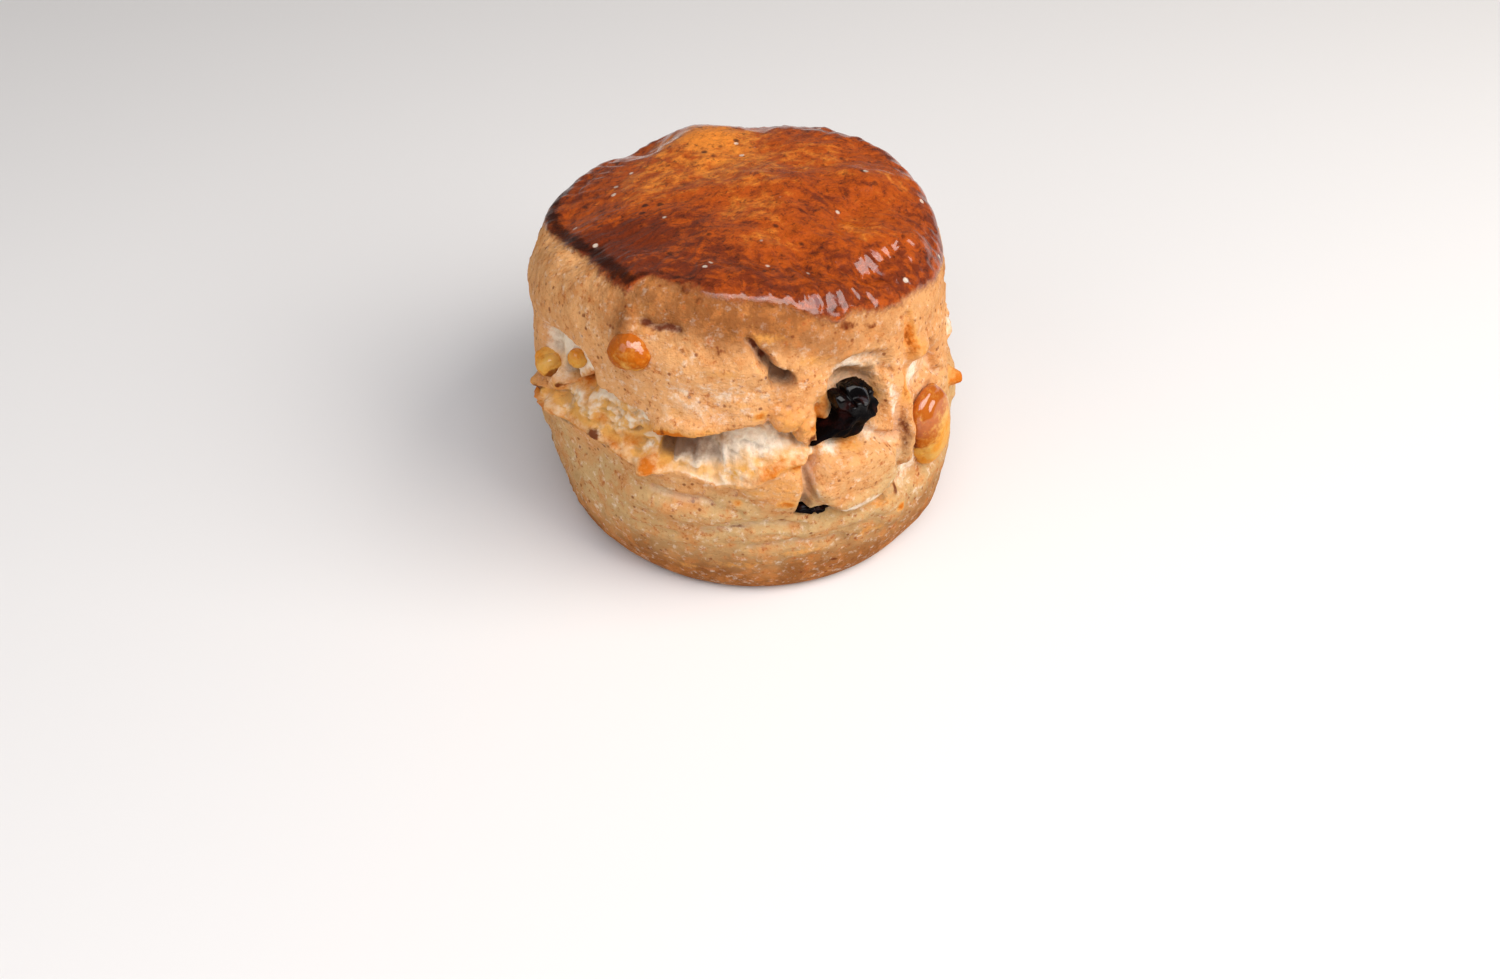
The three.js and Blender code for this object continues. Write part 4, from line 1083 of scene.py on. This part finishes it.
# %% The dough's finish
def dough_finish():
    """The three finishes joined by their masks, with the marks of the oven and painted shade over
    the bare ones.
    """
    f = Finish("baked_dough", Coat_Roughness=0.12, Coat_IOR=1.65, Subsurface_Weight=0.06,
               Subsurface_Radius=(0.004, 0.002, 0.001), Specular_IOR_Level=0.05)
    torn, toast, proud, over = (f.mask(m) for m in ("torn", "toast", "proud", "over"))
    singed, light, yellow, deep = (f.mask(m) for m in ("singed", "light", "yellow", "deep"))
    pale, dark, shade, sear, crag = (f.mask(m) for m in ("pale", "dark", "shade", "sear", "crag"))
    patch, fine = f.cloud(7, 3, 0.6), f.cloud(0.9, 3, 0.65)
    ruffle = fine - 0.5

    crumb_share = f.rise(torn + ruffle * 0.5, 0.3, 0.6)
    ragged = ruffle * 0.9 + (f.cloud(2, 4, 0.65) - 0.5) * 0.9
    bare = f.coats(
        crust_colour(f, sear, patch, fine),
        (crumb_colour(f, yellow), crumb_share),
        (CRUST_WARM, crag * 0.6),
        (CRUMB, f.rise(proud + ruffle * 0.3, -0.25, -0.7) * 0.18 * (1 - crumb_share)),
        # painted shade in the low spots of torn crumb
        (CRUMB_IN_PAINTED_SHADE, f.rise(proud + ruffle * 0.4, -0.15, -0.7) * crumb_share * 0.4),
        (CRUMB, f.rise(proud + ruffle * 0.4, 0.15, 0.6) * crumb_share * 0.5),
        (CRUMB, f.rise(pale + ragged, 0.25, 0.8) * 0.8),
        (GOLDEN, f.rise(toast + ragged, 0.1, 0.7) * 0.75),
        (TOASTED, f.rise(toast + ragged, 0.5, 1.1) * 0.97),
        # painted shade in deep spots and under the shade masks; the dark marks are burnt spots and
        # painted shade
        (CRUMB_IN_PAINTED_SHADE, f.rise(deep, 0.5, 1.1) * 0.35),
        (CRUMB_IN_PAINTED_SHADE, f.rise(shade + ruffle * 0.5, 0.2, 1.0) * 0.9),
        (DARK_SPOT_AND_SHADE, f.rise(dark + ragged, 0.35, 1.0) * 0.9))

    mottle = f.cloud(1.8, 6, 0.68, f.stretched((1.2, 1, 1)), 0.4)
    browning = light + (mottle - 0.5) * 2.3 + (f.cloud(8, 3, 0.6) - 0.5) * 1.1
    burnt = f.rise(singed + (f.cloud(2.6, 5, 0.72) - 0.5) * 1.9, 0.3, 1.0)
    egg = egg_colour(f, browning, over, singed, burnt, ruffle)

    glazed = f.rise(over + ruffle * 0.08, -0.035, 0.04)
    pores = f.rise(f.cells(0.8), 0.0, 0.35)
    cracks = f.cloud(1, 4, 0.65, f.stretched((2.6, 2.6, 0.8)), 0.6)
    dry = f.cloud(0.35, 2, 0.6) * 0.14 + fine * 0.4 + pores * 0.12 + cracks * 0.4
    dry = dry + f.cloud(2.6, 3) * 0.8
    wet = mottle * 0.6 + f.cloud(1.3, 4, 0.6, None, 0.8) * 0.5 + f.cloud(2.4, 2) * 1.4 + fine * 0.3
    return f.connect(
        Base_Color=f.blend(bare, egg, glazed), Roughness=0.8 - glazed * 0.36,
        Coat_Weight=glazed * (0.66 + light * 0.3) * (1 - burnt * 0.6),
        Normal=f.bump(dry * (1 - glazed) + wet * glazed, 0.0006, 0.9))


dress(dough, "scone", dough_finish())

# %% [markdown]
# ## Raisins and nuts
# Each baked-in piece is a lumpy egg pressed into the wall. A few lobes stretch it in chosen
# directions, so that no two look alike. Raisins get deep wrinkles, nuts only shallow creases.

# %% Sizes of the pieces
# at (round, up), half depth, out, seed, roughness, softness of the outline in degrees, and the
# outline as seen from outside: bearing in degrees from the right, radius in mm
PIECES = {
    "raisin_front": ((30, 37), 2.9, 1.3, 5, 0.06, 2, [
        (9, 3.2), (33, 3.5), (58, 3.6), (83, 3.3), (109, 3.4), (119, 2.3), (127, 3.5), (138, 4.2),
        (149, 3.7), (171, 2.4), (190, 2.3), (202, 2.9), (208, 4.6), (211, 7.4), (216, 7.7),
        (222, 6), (238, 5), (257, 4.8), (299, 4.7), (314, 4.9), (326, 5.8), (338, 4.4)]),
    "nut_round": ((-24.4, 45.9), 2.5, 0.1, 21, 0.04, 16, [
        (0, 3.2), (45, 2.7), (90, 3.1), (135, 2.9), (180, 3.5), (225, 3.1), (270, 2.5), (315, 2.8)]),
    "nut_left": ((-61.5, 36.6), 2.2, 0.3, 33, 0.16, 6, [
        (0, 2.1), (45, 2.2), (90, 1.8), (135, 2.3), (180, 2.1), (225, 2.3), (270, 1.9), (315, 2.2)]),
    "nut_left_inner": ((-51, 39.3), 1.6, 0.3, 38, 0.2, 8, [
        (0, 1.6), (60, 1.7), (120, 1.6), (180, 1.7), (240, 1.5), (300, 1.4)]),
    "nut_right": ((57.7, 25.5), 3.2, 0.7, 47, 0.06, 8, [
        (0, 5.7), (40, 5.2), (70, 7.2), (93, 7.5), (120, 7.2), (140, 6.4), (165, 4.9), (190, 4.7),
        (215, 4.2), (240, 5.4), (265, 7.4), (285, 7.9), (305, 8.2), (330, 6.6)]),
    "raisin_low": ((17.2, 20.6), 1.9, 0, 52, 0.1, 4, [
        (0, 3.3), (30, 1.4), (90, 0.8), (150, 1.4), (180, 3.3), (210, 1.5), (270, 0.8), (330, 1.5)]),
    "raisin_back": ((117, 34), 2.8, 0.9, 64, 0.1, 3, [
        (0, 5), (40, 4.2), (80, 3.4), (130, 4.6), (160, 3.6), (200, 4.9), (240, 3.3), (300, 4.1),
        (330, 5.6)]),
    "nut_back": ((172, 37), 2.9, 0.9, 71, 0.08, 12, [
        (0, 5), (40, 3.6), (85, 2.6), (135, 3), (180, 4.6), (220, 3.4), (265, 2.4), (315, 2.9)]),
    "nut_side": ((-106, 18.5), 2.4, 0.6, 83, 0.1, 12, [
        (0, 3.2), (50, 2.2), (110, 2.6), (170, 3.6), (220, 2.4), (290, 2.3)]),
}
PIECE_COLUMNS = 120
PIECE_ROWS = 44
FOLD_SEED = 200
# nut: how orange its lower right and its upper left are, and the side where it is darkest
NUT_SKIN = {
    "nut_round": (0.85, 1, (-0.8, -0.6, 0.2)),
    "nut_left": (0.45, 0.4, (0.7, -0.5, 0)),
    "nut_left_inner": (0, 0.1, (-0.5, -0.7, 0)),
    "nut_right": (0.1, 0.9, (-1, -0.1, -0.4)),
    "nut_back": (0.2, 0.9, (-0.9, -0.4, 0)),
    "nut_side": (0.9, 0.5, (0.2, -1, 0)),
}


# %% A piece pressed into the wall
def piece_mesh(name):
    """Seen from outside, the radius runs through the corners of the piece's outline; outwards
    it reaches the given half depth. Both are multiplied by 1 + rough lumps, and sharp folds go
    on top."""
    (azimuth, up), deep, out, seed, rough, soft, corners = PIECES[name]
    place, outward, _ = skin_at(np.full((1, 1), float(azimuth)), np.full((1, 1), FOOT_RADIUS + up))
    place, outward = place[:, 0, 0], outward[:, 0, 0]
    angle = math.radians(azimuth)
    along = np.array([math.cos(angle), math.sin(angle), 0.0])
    rise = np.cross(outward, along)
    rise = rise / np.linalg.norm(rise)
    along = np.cross(rise, outward)
    polar = math.pi * (1 - np.arange(0, PIECE_ROWS + 1) / PIECE_ROWS)
    bearing = 2 * math.pi * np.arange(PIECE_COLUMNS) / PIECE_COLUMNS
    b, q = np.meshgrid(bearing, polar, indexing="ij")
    bearings, radii = zip(*corners)
    radius = sum(weight * np.interp(np.degrees(b) + turn, bearings, radii, period=360)
                 for turn, weight in ((-soft, 0.25), (0, 0.5), (soft, 0.25)))
    d = np.stack([np.sin(q) * np.cos(b), np.sin(q) * np.sin(b), np.cos(q)])
    size = 1 + rough * lumps(d, 0.9, 2, seed)
    if name.startswith("raisin"):
        folds = np.abs(lumps(d, 0.75, 2, seed + FOLD_SEED, 0.45)) * 2
        size = size + 0.26 * (0.5 - folds)
        masks = {"crease": smooth(folds), "gleam": smooth((d[1] + 0.15) / 0.7)}
    else:
        folds = np.abs(lumps(d, 0.9, 3, seed + FOLD_SEED, 0.45)) * 2
        crease = smooth(1.1 - folds * 1.6)
        size = size - 0.05 * crease
        lower, upper, dark = NUT_SKIN[name]
        warm = smooth((0.75 * d[1] - 0.66 * d[0] + 0.1) / 0.7)
        facing = np.tensordot(np.array(dark) / np.linalg.norm(dark), d, 1)
        masks = {"crease": crease, "gleam": smooth((d[1] - 0.05) / 0.7),
                 "warm": lower + (upper - lower) * warm,
                 "dark": smooth((facing - 0.72) / 0.28)}
    u, v, w = d[0] * radius * size, d[1] * radius * size, d[2] * deep * size
    middle, along, rise, outward = (
        vector[:, None, None] for vector in (place + out * outward, along, rise, outward))
    points = middle + along * u + rise * v + outward * w
    return ring_mesh(name + "_dressed", points[:, 0, 0], points[:, :, 1:-1], points[:, 0, -1],
                     {key: mask[:, 1:-1] for key, mask in masks.items()})


# %% Finishes of raisins and nuts
RAISIN_BLACK = tint(5, 3, 4)
RAISIN_BROWN = tint(36, 11, 9)
NUT_ORANGE = tint(180, 90, 8)
NUT_YELLOW = tint(222, 144, 44)
NUT_PALE = tint(222, 166, 78)
NUT_DARK = tint(104, 38, 10)


def raisin_finish():
    """Black skin, faintly brown in places, with a moist coat that the creases break up."""
    f = Finish("raisin_skin", Coat_Roughness=0.07, Specular_IOR_Level=0.02)
    crease, gleam = f.mask("crease"), f.mask("gleam")
    colour = f.blend(RAISIN_BLACK, RAISIN_BROWN, f.rise(f.cloud(2.2, 3), 0.52, 0.75))
    return f.connect(
        Base_Color=colour, Roughness=0.5 + crease * 0.2,
        Coat_Weight=0.03 + gleam * (0.42 - crease * 0.25),
        Normal=f.bump(f.cloud(0.9, 3, 0.6, None, 1.2), 0.0004, 0.6))


def nut_finish():
    """Yellow to orange by the side that the oven toasted, dark on one side, glossy where it
    faces up."""
    f = Finish("toasted_nut", Coat_Roughness=0.06, Coat_IOR=1.8, Specular_IOR_Level=0.06,
               Subsurface_Weight=0.06, Subsurface_Radius=(0.003, 0.0015, 0.0006))
    crease, warm, dark, gleam = (f.mask(m) for m in ("crease", "warm", "dark", "gleam"))
    patch, fine = f.cloud(3.2, 3, 0.55), f.cloud(0.7, 3, 0.6)
    ruffle = (fine - 0.5) * 0.9
    colour = f.coats(
        NUT_PALE,
        (NUT_YELLOW, f.rise(patch + fine * 0.3, 0.5, 0.75)),
        (NUT_ORANGE, f.rise(warm + (patch - 0.5) * 1.2 + ruffle, 0.35, 0.95)),
        (NUT_DARK, f.rise(dark + crease * 0.4 + ruffle, 0.35, 1.0) * 0.8))
    return f.connect(
        Base_Color=colour, Roughness=0.42 + fine * 0.15, Coat_Weight=gleam * (0.3 + warm * 0.5),
        Normal=f.bump(fine + patch * 0.3, 0.0003, 0.7))


# %% Place raisins and nuts
raisin_skin, toasted_nut = raisin_finish(), nut_finish()
for node in PIECES:
    kind = "raisin" if node.startswith("raisin") else "nut"
    dress(piece_mesh(node), node, raisin_skin if kind == "raisin" else toasted_nut)
